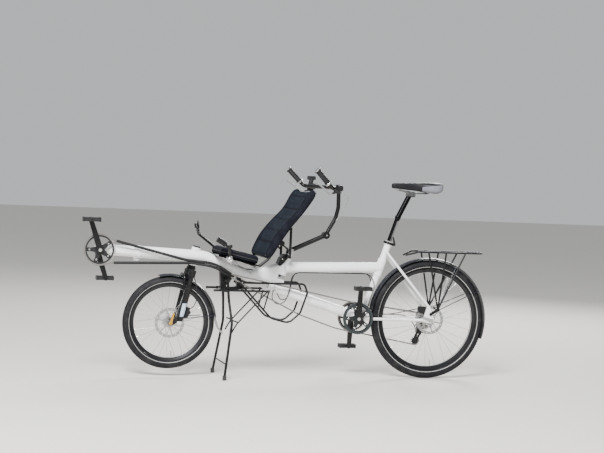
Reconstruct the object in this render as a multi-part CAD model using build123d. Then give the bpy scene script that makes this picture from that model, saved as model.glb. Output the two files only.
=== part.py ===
from build123d import *
from math import asin, atan2, cos, hypot, radians, sin, sqrt, tan
import os

# A semi-recumbent tandem bicycle, parked on its double-leg centre stand with the front wheel off the floor.
# Lengths are millimetres and angles degrees. X points forward, Y to the riders' left and Z up, and the
# floor is Z = 0. Here X = 0 is the rear axle, and at the end the whole bicycle is centred over the origin.

FIT = 0.05
GAP = 0.3

# Wheels: outer radius and width of the tyre and the height of its wall over the rim, and the rim's depth and
# width
REAR_TYRE = {"radius": 332, "width": 50, "wall": 49}
FRONT_TYRE = {"radius": 250, "width": 47, "wall": 43}
REAR_RIM = {"depth": 20, "width": 27}
FRONT_RIM = {"depth": 18, "width": 27}
SPOKES = 28
SPOKE_RADIUS = 1.2
ROTOR_RADIUS = 80
ROTOR_THICKNESS = 2
AXLE_RADIUS = 6

# Front end: the steering axis passes through the middle of the head tube and leans back by HEAD_LEAN
HEAD_X = 1345
HEAD_LEAN = 12.4
FORK_LENGTH = 380
FORK_RAKE = 46.5
HEAD_TUBE = {"radius": 24, "below": 52, "above": 46}
STEERER_RADIUS = 14.3

# Frame tubes
BOOM_RADIUS = 28.5
FRONT_TUBE_RADIUS = 32
TUBE_WALL = 2.5
BOOM_SLOPE = 2.4
FRONT_BB_X = 1864
FRONT_TUBE_NOSE_X = 1676
BEND_X = 1298
BEND_Z = 651
FRONT_TUBE_SLOPE = 21.3
FRONT_TUBE_END_X = 1044
GUSSET = {"width": 50, "top": 634, "bottom": 510}
COLUMN_TOP = (816, 685)
COLUMN_LEAN = 15.5
STEERING_HEAD = {"radius": 18, "below": 125, "above": 8}
COLUMN_RADIUS = 12
TOP_TUBE_RADIUS = 29
TOP_TUBE_FRONT_Z = 603
TOP_TUBE_REAR_Z = 616
MAIN_TUBE_RADIUS = 27
MAIN_TUBE_FRONT = (930, 501)
MAIN_TUBE_REAR = (372, 326)
SEAT_TUBE_RADIUS = 19
SEAT_TUBE_TOP = (250, 745)
SEAT_TUBE_LEAN = 18.4
SEATPOST_RADIUS = 13.6
REAR_BB = (424, 334)
BB_SHELL_RADIUS = 23
BB_SHELL_HALF = 36
REAR_AXLE_Z = REAR_TYRE["radius"]

# Cranks and chains
CRANK_LENGTH = 170
FRONT_CRANK_ANGLE = 71
REAR_CRANK_ANGLE = 92
CHAINRING_TEETH = 40
CHAIN_PITCH = 12.7
CHAIN_LINE = 52
CHAIN_HEIGHT = 8.4
CHAIN_WIDTH = 7
TOOTH_HEIGHT = 3.4
ROLLER_GAP = 3.95
SPROCKETS = (28, 24, 21, 18, 15, 13, 11)
DRIVE_SPROCKET = 5
SPROCKET_STEP = 4.8
PULLEY_TEETH = 11
CRANK_INNER = 65
CRANK_THICKNESS = 12
SPINDLE_RADIUS = 11
PEDAL_AXLE_RADIUS = 5
PEDAL = {"length": 94, "width": 66, "height": 20}

# Stand: its pivot and feet, and the low rack's rails that pass outside its legs
STAND_PIVOT = (1170, 528)
STAND_PIVOT_HALF = 70
STAND_FOOT_HALF = 155
STAND_FOOT_X = 1186
STAND_LEG_RADIUS = 7
RAIL_HALF = 102
RAIL_RADIUS = 6
RAIL_Z = 477
LOOP_HALF = 66

parts = {}


def rod(start, end, radius):
    """A solid round bar between two points."""
    run = Vector(*end) - Vector(*start)
    return Solid.make_cylinder(radius, run.length, Plane(origin=start, z_dir=run))


def pipe(start, end, radius, wall):
    """A round tube between two points."""
    return rod(start, end, radius) - rod(start, end, radius - wall)


def bent_rod(points, bends, radius):
    """A round bar along straight runs joined by arcs, one bend radius for each inner point."""
    path = FilletPolyline(*points, radius=bends)
    section = Plane(origin=path @ 0, z_dir=path % 0) * Circle(radius)
    return sweep(section, path=path)


def slab(sketch, y_from, y_to):
    """A sketch drawn in X and Z, given thickness between two values of Y."""
    side = Plane(origin=(0, y_from, 0), x_dir=(1, 0, 0), z_dir=(0, -1, 0))
    return extrude(side * sketch, amount=y_from - y_to)


def disc(x, z, radius, y_from, y_to):
    """A round slab on an axis across the bicycle."""
    return rod((x, y_from, z), (x, y_to, z), radius)


def turned(points):
    """A ring about the Y axis from an outline of (radius, y) points."""
    return revolve(make_face(Polyline(*points, close=True)), axis=Axis.Y)


def turned_up(points):
    """A solid about the Z axis from an outline of (radius, z) points."""
    outline = Polyline(*[(radius, 0, z) for radius, z in points], close=True)
    return revolve(make_face(outline), axis=Axis.Z)


def linked(*circles):
    """The outline that wraps circles given as (x, z, radius)."""
    return make_hull([edge for x, z, radius in circles for edge in (Pos(x, z) * Circle(radius)).edges()])


def cable(points, radius):
    """A cable along a route, each bend as wide as its two runs allow."""
    route = [Vector(*point) for point in points]
    bends = []
    for before, here, after in zip(route, route[1:], route[2:]):
        half_turn = radians((here - before).get_angle(after - here) / 2)
        bends.append(0.45 * min((here - before).length, (after - here).length) / tan(half_turn))
    return bent_rod(points, bends, radius)


def mirrored(shape):
    """The same piece on the other side of the bicycle."""
    return mirror(shape, about=Plane.XZ)


# Head tube and fork share a frame of their own: local X forward, local Z up the steering axis.
boom_rise = tan(radians(BOOM_SLOPE))
front_tube_fall = tan(radians(FRONT_TUBE_SLOPE))
HEAD_Z = BEND_Z + (HEAD_X - BEND_X) * boom_rise
fork_plane = Plane(
    origin=(HEAD_X, 0, HEAD_Z),
    x_dir=(cos(radians(HEAD_LEAN)), 0, sin(radians(HEAD_LEAN))),
    z_dir=(-sin(radians(HEAD_LEAN)), 0, cos(radians(HEAD_LEAN))),
)
front_axle = fork_plane.from_local_coords(Vector(FORK_RAKE, 0, -FORK_LENGTH))


def boom_point(x):
    """The point of the boom's centre line at a given X."""
    return (x, 0, BEND_Z + (x - BEND_X) * boom_rise)


def column_point(z):
    """The point of the rear rider's steering axis at a given height."""
    return (COLUMN_TOP[0] + (COLUMN_TOP[1] - z) * tan(radians(COLUMN_LEAN)), 0, z)


def seat_tube_point(z):
    """The point of the seat tube's centre line at a given height."""
    return (SEAT_TUBE_TOP[0] + (SEAT_TUBE_TOP[1] - z) * tan(radians(SEAT_TUBE_LEAN)), 0, z)


# Boom: a tube that slides in the front tube, with the front bottom bracket shell across its nose
front_bb = boom_point(FRONT_BB_X)
boom_inside = 80
boom_tube = pipe(boom_point(FRONT_TUBE_NOSE_X - boom_inside), front_bb, BOOM_RADIUS, TUBE_WALL)
front_shell = disc(FRONT_BB_X, front_bb[2], BB_SHELL_RADIUS, -BB_SHELL_HALF, BB_SHELL_HALF)
front_bore = disc(FRONT_BB_X, front_bb[2], SPINDLE_RADIUS + FIT, -BB_SHELL_HALF, BB_SHELL_HALF)
parts["boom"] = boom_tube + front_shell - front_bore

# Front tube: the outer tube of the boom, bent down behind the head tube that passes through it
front_tube_end = (FRONT_TUBE_END_X, 0, BEND_Z - (BEND_X - FRONT_TUBE_END_X) * front_tube_fall)
front_tube_run = [boom_point(FRONT_TUBE_NOSE_X), boom_point(BEND_X), front_tube_end]
front_tube_bend = [160]
front_tube_outer = bent_rod(front_tube_run, front_tube_bend, FRONT_TUBE_RADIUS)
front_tube_inner = bent_rod(front_tube_run, front_tube_bend, BOOM_RADIUS + FIT)
head_outer = rod((0, 0, -HEAD_TUBE["below"]), (0, 0, HEAD_TUBE["above"]), HEAD_TUBE["radius"])
head_bore = rod((0, 0, -HEAD_TUBE["below"]), (0, 0, HEAD_TUBE["above"]), STEERER_RADIUS + FIT)
clamp_length = 34
clamp_ends = [boom_point(FRONT_TUBE_NOSE_X), boom_point(FRONT_TUBE_NOSE_X - clamp_length)]
boom_clamp = rod(*clamp_ends, FRONT_TUBE_RADIUS + 4)
clamp_middle = boom_point(FRONT_TUBE_NOSE_X - clamp_length / 2)
clamp_ear = Pos(clamp_middle[0], 0, clamp_middle[2] - FRONT_TUBE_RADIUS - 7) * Box(clamp_length - 6, 18, 16)
clamp_ear = fillet(clamp_ear.edges().filter_by(Axis.Y), 4)
clamp_slot = Pos(clamp_middle[0], 0, clamp_middle[2] - FRONT_TUBE_RADIUS) * Box(clamp_length + 30, 2.5, 40)
clamp_bolt_z = clamp_middle[2] - FRONT_TUBE_RADIUS - 9
clamp_bolts = [disc(clamp_middle[0] + step, clamp_bolt_z, 3, -12, 12) for step in (-8, 8)]
front_tube = front_tube_outer + boom_clamp + clamp_ear - clamp_slot + clamp_bolts - front_tube_inner
front_tube = front_tube + fork_plane.location * head_outer - fork_plane.location * head_bore
parts["front_tube"] = front_tube

# Steering head: the tube in the frame that carries the rear rider's steering column
head_bottom = column_point(COLUMN_TOP[1] - STEERING_HEAD["below"])
head_top = column_point(COLUMN_TOP[1] - STEERING_HEAD["above"])
steering_head_solid = rod(head_bottom, head_top, STEERING_HEAD["radius"])
steering_head_bore = rod(head_bottom, head_top, COLUMN_RADIUS + FIT)

# Frame gusset: the tapered box that grows from the round front tube to the height of the steering head
gusset_front = Plane(
    origin=front_tube_end,
    x_dir=(0, 1, 0),
    z_dir=(-cos(radians(FRONT_TUBE_SLOPE)), 0, -sin(radians(FRONT_TUBE_SLOPE))),
)
gusset_mid_z = (GUSSET["top"] + GUSSET["bottom"]) / 2
gusset_height = GUSSET["top"] - GUSSET["bottom"]
gusset_back_x = column_point(gusset_mid_z)[0]


def gusset_loft(wall):
    """The gusset's outside, or with a wall thickness, its inside."""
    rear = Plane(origin=(gusset_back_x, 0, gusset_mid_z), x_dir=(0, 1, 0), z_dir=(-1, 0, 0))
    box = RectangleRounded(GUSSET["width"] - 2 * wall, gusset_height - 2 * wall, 20 - wall)
    round_width = 2 * (FRONT_TUBE_RADIUS - wall)
    round_end = RectangleRounded(round_width, round_width, 0.49 * round_width)
    return loft([gusset_front * round_end, rear * box])


gusset = gusset_loft(0) - gusset_loft(3) - steering_head_solid
arm_notch = rod(column_point(head_bottom[2] - 24), head_bottom, 40)
parts["frame_gusset"] = gusset - arm_notch + steering_head_solid - steering_head_bore

# Top tube: level, from the steering head to a sleeve round the seat tube
top_tube_front = (column_point(TOP_TUBE_FRONT_Z)[0], 0, TOP_TUBE_FRONT_Z)
top_tube_rear = seat_tube_point(TOP_TUBE_REAR_Z)
sleeve_half = 46
sleeve_ends = [seat_tube_point(TOP_TUBE_REAR_Z + step) for step in (-sleeve_half, sleeve_half)]
sleeve = rod(*sleeve_ends, 24)
seat_tube_solid = rod(seat_tube_point(340), seat_tube_point(SEAT_TUBE_TOP[1]), SEAT_TUBE_RADIUS)
top_tube = pipe(top_tube_front, top_tube_rear, TOP_TUBE_RADIUS, TUBE_WALL) + sleeve
parts["top_tube"] = top_tube - gusset_loft(0) - steering_head_solid - seat_tube_solid

# Rear main tube: from under the gusset to the rear bottom bracket, with the yoke of the chain stays
yoke_x = 378
yoke_half = 42
main_tube_ends = ((MAIN_TUBE_FRONT[0], 0, MAIN_TUBE_FRONT[1]), (MAIN_TUBE_REAR[0], 0, MAIN_TUBE_REAR[1]))
main_tube = pipe(*main_tube_ends, MAIN_TUBE_RADIUS, TUBE_WALL)
main_tube_solid = rod(*main_tube_ends, MAIN_TUBE_RADIUS)
rear_shell = disc(REAR_BB[0], REAR_BB[1], BB_SHELL_RADIUS, -BB_SHELL_HALF, BB_SHELL_HALF)
rear_bore = disc(REAR_BB[0], REAR_BB[1], SPINDLE_RADIUS + FIT, -BB_SHELL_HALF, BB_SHELL_HALF)
yoke = Pos(yoke_x, 0, REAR_AXLE_Z) * Box(16, 2 * yoke_half, 26)
parts["rear_main_tube"] = main_tube + rear_shell + yoke - rear_bore - gusset_loft(0)

# Seat tube: stands on the rear main tube, with a clamp collar and the bridge that carries the seat stays
seat_stay_top = (264, 30, 703)
collar_ends = [seat_tube_point(SEAT_TUBE_TOP[1] + step) for step in (-4, 16)]
collar = rod(*collar_ends, SEAT_TUBE_RADIUS + 5)
stay_bridge = rod((seat_stay_top[0], -seat_stay_top[1], seat_stay_top[2]), seat_stay_top, 9)
seat_bore = rod(seat_tube_point(340), collar_ends[1], SEATPOST_RADIUS)
parts["seat_tube"] = seat_tube_solid + collar + stay_bridge - seat_bore - main_tube_solid - yoke - rear_shell

# Chain stays with dropout plates, and seat stays
dropout_inner = 66
dropout_outer = 72
dropout_outline = make_hull(
    [
        *(Pos(0, REAR_AXLE_Z) * Circle(17)).edges(),
        *(Pos(38, REAR_AXLE_Z) * Circle(11)).edges(),
        *(Pos(18, REAR_AXLE_Z + 74) * Circle(9)).edges(),
    ]
)
axle_hole = disc(0, REAR_AXLE_Z, AXLE_RADIUS, dropout_inner, dropout_outer)
dropout = slab(dropout_outline, dropout_inner, dropout_outer) - axle_hole
chain_stay_radius = 8
chain_stay = rod((yoke_x - 8, 34, REAR_AXLE_Z), (30, 69, REAR_AXLE_Z), chain_stay_radius)
chain_stay_left = chain_stay - yoke + dropout
parts["chain_stay_left"] = chain_stay_left
parts["chain_stay_right"] = mirrored(chain_stay_left)
seat_stay_radius = 7
seat_stay = rod(seat_stay_top, (18, 68, REAR_AXLE_Z + 76), seat_stay_radius) - stay_bridge - dropout
parts["seat_stay_left"] = seat_stay
parts["seat_stay_right"] = mirrored(seat_stay)

# Rear axle: fixed in the dropouts, with a quick release lever on the left
nut_radius = 10
nut_length = 9
nut_end = dropout_outer + nut_length
rear_axle = disc(0, REAR_AXLE_Z, AXLE_RADIUS, -nut_end - 1, nut_end + 1)
rear_axle += disc(0, REAR_AXLE_Z, nut_radius, dropout_outer, nut_end)
rear_axle += disc(0, REAR_AXLE_Z, nut_radius, -nut_end, -dropout_outer)
rear_lever = slab(linked((0, REAR_AXLE_Z, 7), (50, REAR_AXLE_Z + 16, 5)), nut_end - 4, nut_end)
parts["rear_axle"] = rear_axle + rear_lever


def wheel(prefix, centre, tyre, rim, hub, rotor_y):
    """Tyre, rim, hub with spokes and brake rotor of one wheel, on the axle at centre."""
    place = Pos(*centre)
    half = tyre["width"] / 2
    bead = tyre["radius"] - tyre["wall"]
    rim_inner = bead - rim["depth"]
    crown = tyre["radius"] - half
    tube = Pos(crown, 0) * Circle(half)
    tyre_section = tube - Pos(bead - 50, 0) * Rectangle(100, 100)
    parts[prefix + "_tyre"] = place * revolve(tyre_section, axis=Axis.Y)
    rim_half = rim["width"] / 2
    rim_outline = [
        (rim_inner, -rim_half + 7),
        (bead, -rim_half),
        (bead, rim_half),
        (rim_inner, rim_half - 7),
    ]
    parts[prefix + "_rim"] = place * turned(rim_outline)
    bore = AXLE_RADIUS + FIT
    hub_outline = [
        (bore, hub["right"]),
        (hub["end"], hub["right"]),
        (hub["end"], hub["right_flange"] - 3),
        (hub["flange"], hub["right_flange"] - 2),
        (hub["flange"], hub["right_flange"] + 2),
        (hub["barrel"], hub["right_flange"] + 6),
        (hub["barrel"], hub["left_flange"] - 6),
        (hub["flange"], hub["left_flange"] - 2),
        (hub["flange"], hub["left_flange"] + 2),
        (hub["end"], hub["left_flange"] + 3),
        (hub["end"], hub["left"]),
        (bore, hub["left"]),
    ]
    hub_solid = turned(hub_outline)
    spokes = []
    for number in range(SPOKES):
        side = hub["left_flange"] if number % 2 else hub["right_flange"]
        lead = 55 if number % 4 < 2 else -55
        outer_angle = radians(360 / SPOKES * number)
        inner_angle = outer_angle + radians(lead)
        root = hub["flange"] - 4
        start = (root * cos(inner_angle), side, root * sin(inner_angle))
        reach = rim_inner - 0.4
        end = (reach * cos(outer_angle), 0.15 * side, reach * sin(outer_angle))
        spokes.append(rod(start, end, SPOKE_RADIUS))
    parts[prefix + "_hub"] = place * (hub_solid + spokes)
    ring = Circle(ROTOR_RADIUS) - Circle(ROTOR_RADIUS - 15)
    holes = PolarLocations(ROTOR_RADIUS - 7.5, 18) * Circle(3.2)
    arm = Pos(ROTOR_RADIUS / 2 + 4, 14) * Rot(0, 0, 12) * Rectangle(ROTOR_RADIUS - 30, 7)
    arms = [Rot(0, 0, 60 * turn) * arm for turn in range(6)]
    rotor = ring + arms + Circle(26) - holes - Circle(hub["end"])
    parts[prefix + "_rotor"] = place * slab(rotor, rotor_y, rotor_y + ROTOR_THICKNESS)


# Hubs: Y of the ends and flanges, and the radii of the flanges, the barrel and the ends
REAR_HUB = {
    "right": -65.7,
    "right_flange": -20,
    "left_flange": 30,
    "left": 65.7,
    "flange": 31,
    "barrel": 17,
    "end": 15,
}
FRONT_HUB = {
    "right": -50,
    "right_flange": -32,
    "left_flange": 24,
    "left": 50,
    "flange": 29,
    "barrel": 15,
    "end": 12,
}
rear_centre = (0, 0, REAR_AXLE_Z)
front_centre = (front_axle.X, 0, front_axle.Z)
wheel("rear", rear_centre, REAR_TYRE, REAR_RIM, REAR_HUB, 44)
wheel("front", front_centre, FRONT_TYRE, FRONT_RIM, FRONT_HUB, 34)


def pitch_radius(teeth):
    """Radius of the circle through the rollers on a chain wheel."""
    return CHAIN_PITCH / (2 * sin(radians(180 / teeth)))


def tooth_outline(teeth):
    """A chain wheel's outline: a blank with a round gap for each roller."""
    radius = pitch_radius(teeth)
    return Circle(radius + TOOTH_HEIGHT) - PolarLocations(radius, teeth) * Circle(ROLLER_GAP)


# Cassette: seven sprockets on the hub, one of them in the drive chain's line
cassette_back = -26
cassette_front = -CHAIN_LINE + (DRIVE_SPROCKET + 1 - len(SPROCKETS)) * SPROCKET_STEP - 2
cassette = disc(0, 0, 20, cassette_front, cassette_back)
for number, teeth in enumerate(SPROCKETS):
    middle = -CHAIN_LINE + (DRIVE_SPROCKET - number) * SPROCKET_STEP
    sprocket = tooth_outline(teeth)
    if teeth > 20:
        window = pitch_radius(teeth) * 0.2
        sprocket -= PolarLocations((20 + pitch_radius(teeth)) / 2, 6) * Circle(window)
    cassette += slab(sprocket, middle - 0.9, middle + 0.9)
cassette -= disc(0, 0, REAR_HUB["end"], cassette_front, cassette_back)
parts["cassette"] = Pos(*rear_centre) * cassette


# Cranks: the left arm points at the given angle, measured up from straight ahead, and the right one opposite
def crank_set(name, centre, angle):
    """Both arms, the spindle and the two pedal axles of one rider's cranks."""
    outer = CRANK_INNER + CRANK_THICKNESS
    arm = slab(linked((0, 0, 17), (30, 0, 13), (CRANK_LENGTH, 0, 12)), CRANK_INNER, outer)
    arm = fillet(arm.faces().filter_by(Axis.Y).edges(), 2.5)
    groove = Pos(CRANK_LENGTH / 2 + 6, 0) * SlotOverall(CRANK_LENGTH - 70, 9)
    arm -= slab(groove, outer - 2, outer)
    left = arm + disc(CRANK_LENGTH, 0, PEDAL_AXLE_RADIUS, outer - 1, outer + PEDAL["width"])
    left += disc(0, 0, 10, outer - 1, outer + 2)
    right = Rot(0, 180, 0) * mirrored(left)
    spindle = disc(0, 0, SPINDLE_RADIUS, -CRANK_INNER - 1, CRANK_INNER + 1)
    parts[name] = Pos(centre[0], 0, centre[1]) * Rot(0, -angle, 0) * (left + right + spindle)


def pedal(name, centre, angle, side):
    """One platform pedal on the end of the arm, level, on the given side (1 left, -1 right)."""
    reach = CRANK_LENGTH * side
    x = centre[0] + reach * cos(radians(angle))
    z = centre[1] + reach * sin(radians(angle))
    half = PEDAL["width"] / 2
    y = side * (CRANK_INNER + CRANK_THICKNESS + 1 + half)
    window = (PEDAL["length"] - 44) / 2
    plan = RectangleRounded(PEDAL["length"], PEDAL["width"], 9)
    for end in (-1, 1):
        plan -= Pos(end * (14 + window / 2), 0) * RectangleRounded(window, PEDAL["width"] - 16, 5)
    cage = Pos(0, 0, -PEDAL["height"] / 2) * extrude(plan, amount=PEDAL["height"])
    hollow = Box(PEDAL["length"] - 18, PEDAL["width"] - 14, PEDAL["height"] - 8)
    hollow = Pos(0, 0, PEDAL["height"] / 2) * hollow
    cage -= [hollow, mirror(hollow, about=Plane.XY)]
    pins = GridLocations(PEDAL["length"] - 8, 15, 2, 4) * Cylinder(1.6, PEDAL["height"] + 5)
    barrel = rod((0, -half, 0), (0, half, 0), 10)
    cage += [*pins, barrel]
    cage -= disc(0, 0, PEDAL_AXLE_RADIUS + FIT, -half, half)
    parts[name] = Pos(x, y, z) * cage


front_crank_centre = (FRONT_BB_X, front_bb[2])
crank_set("front_cranks", front_crank_centre, FRONT_CRANK_ANGLE)
crank_set("rear_cranks", REAR_BB, REAR_CRANK_ANGLE)
for side, word in ((1, "left"), (-1, "right")):
    pedal("front_pedal_" + word, front_crank_centre, FRONT_CRANK_ANGLE, side)
    pedal("rear_pedal_" + word, REAR_BB, REAR_CRANK_ANGLE, side)

# Chainrings: toothed rings on five-armed spiders, with a plain guard ring outside the rear rider's left one
ring_radius = pitch_radius(CHAINRING_TEETH)
ring_thickness = 2.4
bolt_radius = 55


def chainring(centre, side):
    """One chainring with its spider, on the left (1) or right (-1) of the bicycle."""
    plate = tooth_outline(CHAINRING_TEETH) - Circle(ring_radius - 13)
    plate += PolarLocations(bolt_radius + 5, 5) * Circle(11)
    arms = [Rot(0, 0, 72 * turn) * linked((0, 0, 19), (bolt_radius, 0, 8)) for turn in range(5)]
    spider = Circle(24) + arms - Circle(SPINDLE_RADIUS)
    face = CHAIN_LINE + ring_thickness / 2
    ring = slab(plate - Circle(SPINDLE_RADIUS), CHAIN_LINE - ring_thickness / 2, face)
    ring += slab(spider, face, face + 4)
    ring += disc(0, 0, 22, face, CRANK_INNER) - disc(0, 0, SPINDLE_RADIUS, face, CRANK_INNER)
    for turn in range(5):
        angle = radians(72 * turn)
        ring += disc(bolt_radius * cos(angle), bolt_radius * sin(angle), 5, face, face + 6)
    if side < 0:
        ring = mirrored(ring)
    return Pos(centre[0], 0, centre[1]) * ring


parts["front_chainring"] = chainring(front_crank_centre, 1)
left_ring = chainring(REAR_BB, 1)
guard_face = CHAIN_LINE + ring_thickness / 2 + 4
guard = slab(Circle(ring_radius + 6) - Circle(ring_radius - 7), guard_face, guard_face + 2)
guard_arm = linked((bolt_radius, 0, 8), (ring_radius - 3, 0, 6))
guard += [slab(Rot(0, 0, 72 * turn) * guard_arm, guard_face, guard_face + 2) for turn in range(5)]
left_ring += Pos(REAR_BB[0], 0, REAR_BB[1]) * guard
parts["rear_chainrings"] = Compound([*left_ring.solids(), *chainring(REAR_BB, -1).solids()])


# Chains: bands with a slot where the teeth run in them
def tangent(centre, radius, point, side):
    """Where the line from a point touches a circle, on the side given by 1 above or -1 below."""
    reach = hypot(point[0] - centre[0], point[1] - centre[1])
    towards = atan2(point[1] - centre[1], point[0] - centre[0])
    opening = atan2(sqrt(reach**2 - radius**2), radius)
    turn = towards - side * opening if point[0] < centre[0] else towards + side * opening
    return (centre[0] + radius * cos(turn), centre[1] + radius * sin(turn))


def chain_band(region, y):
    """The chain as a band that follows the edge of a region."""
    outer = offset(region, amount=CHAIN_HEIGHT / 2)
    inner = offset(region, amount=-CHAIN_HEIGHT / 2)
    return slab(outer - inner, y - CHAIN_WIDTH / 2, y + CHAIN_WIDTH / 2)


slot_half = ring_thickness / 2 + 0.6
slot_radius = ring_radius + 5
upper_run = [(1776, 723), (1400, 632), (1240, 618), (1150, 562)]
upper_bends = [300, 220]
sag = [(560, 281), (760, 350), (1060, 498)]
lower_run = [(1150, 546), (1240, 600), (1368, 617), (1788, 607)]
lower_bends = [220, 300]
timing_route = [
    tangent(front_crank_centre, ring_radius, upper_run[0], 1),
    *upper_run,
    tangent(REAR_BB, ring_radius, upper_run[-1], 1),
    tangent(REAR_BB, ring_radius, sag[0], -1),
    *sag,
    *lower_run,
    tangent(front_crank_centre, ring_radius, lower_run[-1], -1),
]
timing_bends = [0, 0, *upper_bends, 100, 0, 0, 300, 300, 100, 100, *lower_bends, 0, 0]
timing_region = make_face(FilletPolyline(*timing_route, radius=timing_bends, close=True))
timing_region += Pos(*front_crank_centre) * Circle(ring_radius)
timing_region += Pos(*REAR_BB) * Circle(ring_radius)
timing_chain = chain_band(timing_region, CHAIN_LINE)
for centre in (front_crank_centre, REAR_BB):
    timing_chain -= disc(centre[0], centre[1], slot_radius, CHAIN_LINE - slot_half, CHAIN_LINE + slot_half)
parts["timing_chain"] = timing_chain

# Chain tubes: guide the timing chain past the fork and under the seat
chain_tube_radius = 7.4
chain_tube_wall = 1.2
chain_tubes = []
for run, bends in ((upper_run, upper_bends), (lower_run, lower_bends)):
    route = [(x, CHAIN_LINE, z) for x, z in run]
    tube = bent_rod(route, bends, chain_tube_radius)
    tube -= bent_rod(route, bends, chain_tube_radius - chain_tube_wall)
    chain_tubes += tube.solids()
parts["chain_tubes"] = Compound(chain_tubes)


def wheel_tangent(first, second, sides):
    """The points where a chain leaves the first wheel (x, z, radius) and meets the second.

    A wheel's side is 1 where the chain runs past it with the wheel on its left, and -1 with it on its right.
    """
    run = hypot(second[0] - first[0], second[1] - first[1])
    turn = atan2(second[1] - first[1], second[0] - first[0])
    turn += asin((sides[0] * first[2] - sides[1] * second[2]) / run)
    touches = []
    for (x, z, radius), side in ((first, sides[0]), (second, sides[1])):
        touches.append((x + side * radius * sin(turn), z - side * radius * cos(turn)))
    return touches


# Drive chain on the right: round the ring and the sprocket, then back past the guide pulley and round the
# tension pulley. The guide pulley lies outside the loop.
drive_sprocket = (0, REAR_AXLE_Z, pitch_radius(SPROCKETS[DRIVE_SPROCKET]))
guide_pulley = (22, REAR_AXLE_Z - 70, pitch_radius(PULLEY_TEETH))
tension_pulley = (48, REAR_AXLE_Z - 128, pitch_radius(PULLEY_TEETH))
drive_ring = (REAR_BB[0], REAR_BB[1], ring_radius)
drive_wheels = [drive_ring, drive_sprocket, guide_pulley, tension_pulley, drive_ring]
drive_sides = [1, 1, -1, 1, 1]
drive_points = []
for number in range(len(drive_wheels) - 1):
    pair = drive_wheels[number : number + 2]
    drive_points += wheel_tangent(*pair, drive_sides[number : number + 2])
drive_region = make_face(Polyline(*drive_points, close=True))
for x, z, radius in (drive_ring, drive_sprocket, tension_pulley):
    drive_region += Pos(x, z) * Circle(radius)
drive_region -= Pos(guide_pulley[0], guide_pulley[1]) * Circle(guide_pulley[2])
drive_chain = chain_band(drive_region, -CHAIN_LINE)
drive_chain -= disc(REAR_BB[0], REAR_BB[1], slot_radius, -CHAIN_LINE - slot_half, -CHAIN_LINE + slot_half)
drive_chain -= disc(0, REAR_AXLE_Z, drive_sprocket[2] + 5, -CHAIN_LINE - slot_half, -CHAIN_LINE + slot_half)
for x, z, radius in (guide_pulley, tension_pulley):
    drive_chain -= disc(x, z, radius + 5, -CHAIN_LINE - slot_half, -CHAIN_LINE + slot_half)
parts["drive_chain"] = drive_chain

# Rear derailleur: a hanger and body on the right dropout, and a cage that carries the two pulleys
cage_outer = linked((guide_pulley[0], guide_pulley[1], 14), (tension_pulley[0], tension_pulley[1], 12))
cage_window = linked(
    (guide_pulley[0] + 9, guide_pulley[1] - 22, 5),
    (tension_pulley[0] - 8, tension_pulley[1] + 20, 4),
)
cage_plate = cage_outer - cage_window
derailleur = slab(cage_plate, -CHAIN_LINE - 7, -CHAIN_LINE - 5)
derailleur += slab(cage_plate, -CHAIN_LINE + 5, -CHAIN_LINE + 7)
for x, z, radius in (guide_pulley, tension_pulley):
    pulley_wheel = slab(tooth_outline(PULLEY_TEETH) - Circle(4), -CHAIN_LINE - 1, -CHAIN_LINE + 1)
    derailleur += Pos(x, 0, z) * pulley_wheel + disc(x, z, 5, -CHAIN_LINE - 9, -CHAIN_LINE + 7)
hanger_point = (6, REAR_AXLE_Z - 26)
knuckle_point = (34, REAR_AXLE_Z - 52)
derailleur += slab(linked((*hanger_point, 8), (4, REAR_AXLE_Z - 14, 9)), -dropout_outer - 5, -dropout_outer)
body_outline = linked((*hanger_point, 11), (*knuckle_point, 9))
derailleur += slab(body_outline, -dropout_outer - 18, -dropout_outer - 5)
knuckle = linked((*knuckle_point, 9), (guide_pulley[0], guide_pulley[1], 11))
derailleur += slab(knuckle, -dropout_outer - 14, -CHAIN_LINE - 7)
derailleur -= mirrored(dropout)
parts["rear_derailleur"] = derailleur - parts["rear_axle"]

# Seatpost: silver below, black spring head above, with the saddle's rails and clamp
post_joint = seat_tube_point(898)
post_head = (138, 0, 1022)
seatpost = rod(seat_tube_point(560), post_joint, SEATPOST_RADIUS)
seatpost += rod(post_joint, post_head, 15)
seatpost += Sphere(17).moved(Location(post_joint))
rail_table = [(206, 1052), (120, 1036), (40, 1036), (-16, 1066)]
rails = bent_rod([(x, 21, z) for x, z in rail_table], [30, 30], 3.5)
clamp = Pos(130, 0, 1026) * fillet(Box(48, 30, 22).edges().filter_by(Axis.Y), 8)
clamp += disc(118, 1036, 8, -28, 28) + disc(146, 1040, 8, -28, 28)
parts["seatpost"] = seatpost + clamp + rails + mirrored(rails)

# Saddle: a nose that widens to the rear, flat on top, with a skirt on each side at the back
saddle_table = [
    # x, half width, z of the underside, height
    (236, 15, 1062, 24),
    (190, 20, 1056, 34),
    (110, 27, 1050, 44),
    (50, 56, 1046, 50),
    (0, 78, 1040, 59),
    (-46, 62, 1058, 42),
]
saddle_sections = []
for x, half_width, z, height in saddle_table:
    plane = Plane(origin=(x, 0, z + height / 2), x_dir=(0, 1, 0), z_dir=(-1, 0, 0))
    saddle_sections.append(plane * RectangleRounded(2 * half_width, height, height * 0.45))
saddle = loft(saddle_sections, ruled=True)
under_side = Pos(60, 0, 1030) * Box(240, 70, 50)
parts["saddle"] = saddle - under_side - parts["seatpost"]

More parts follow.
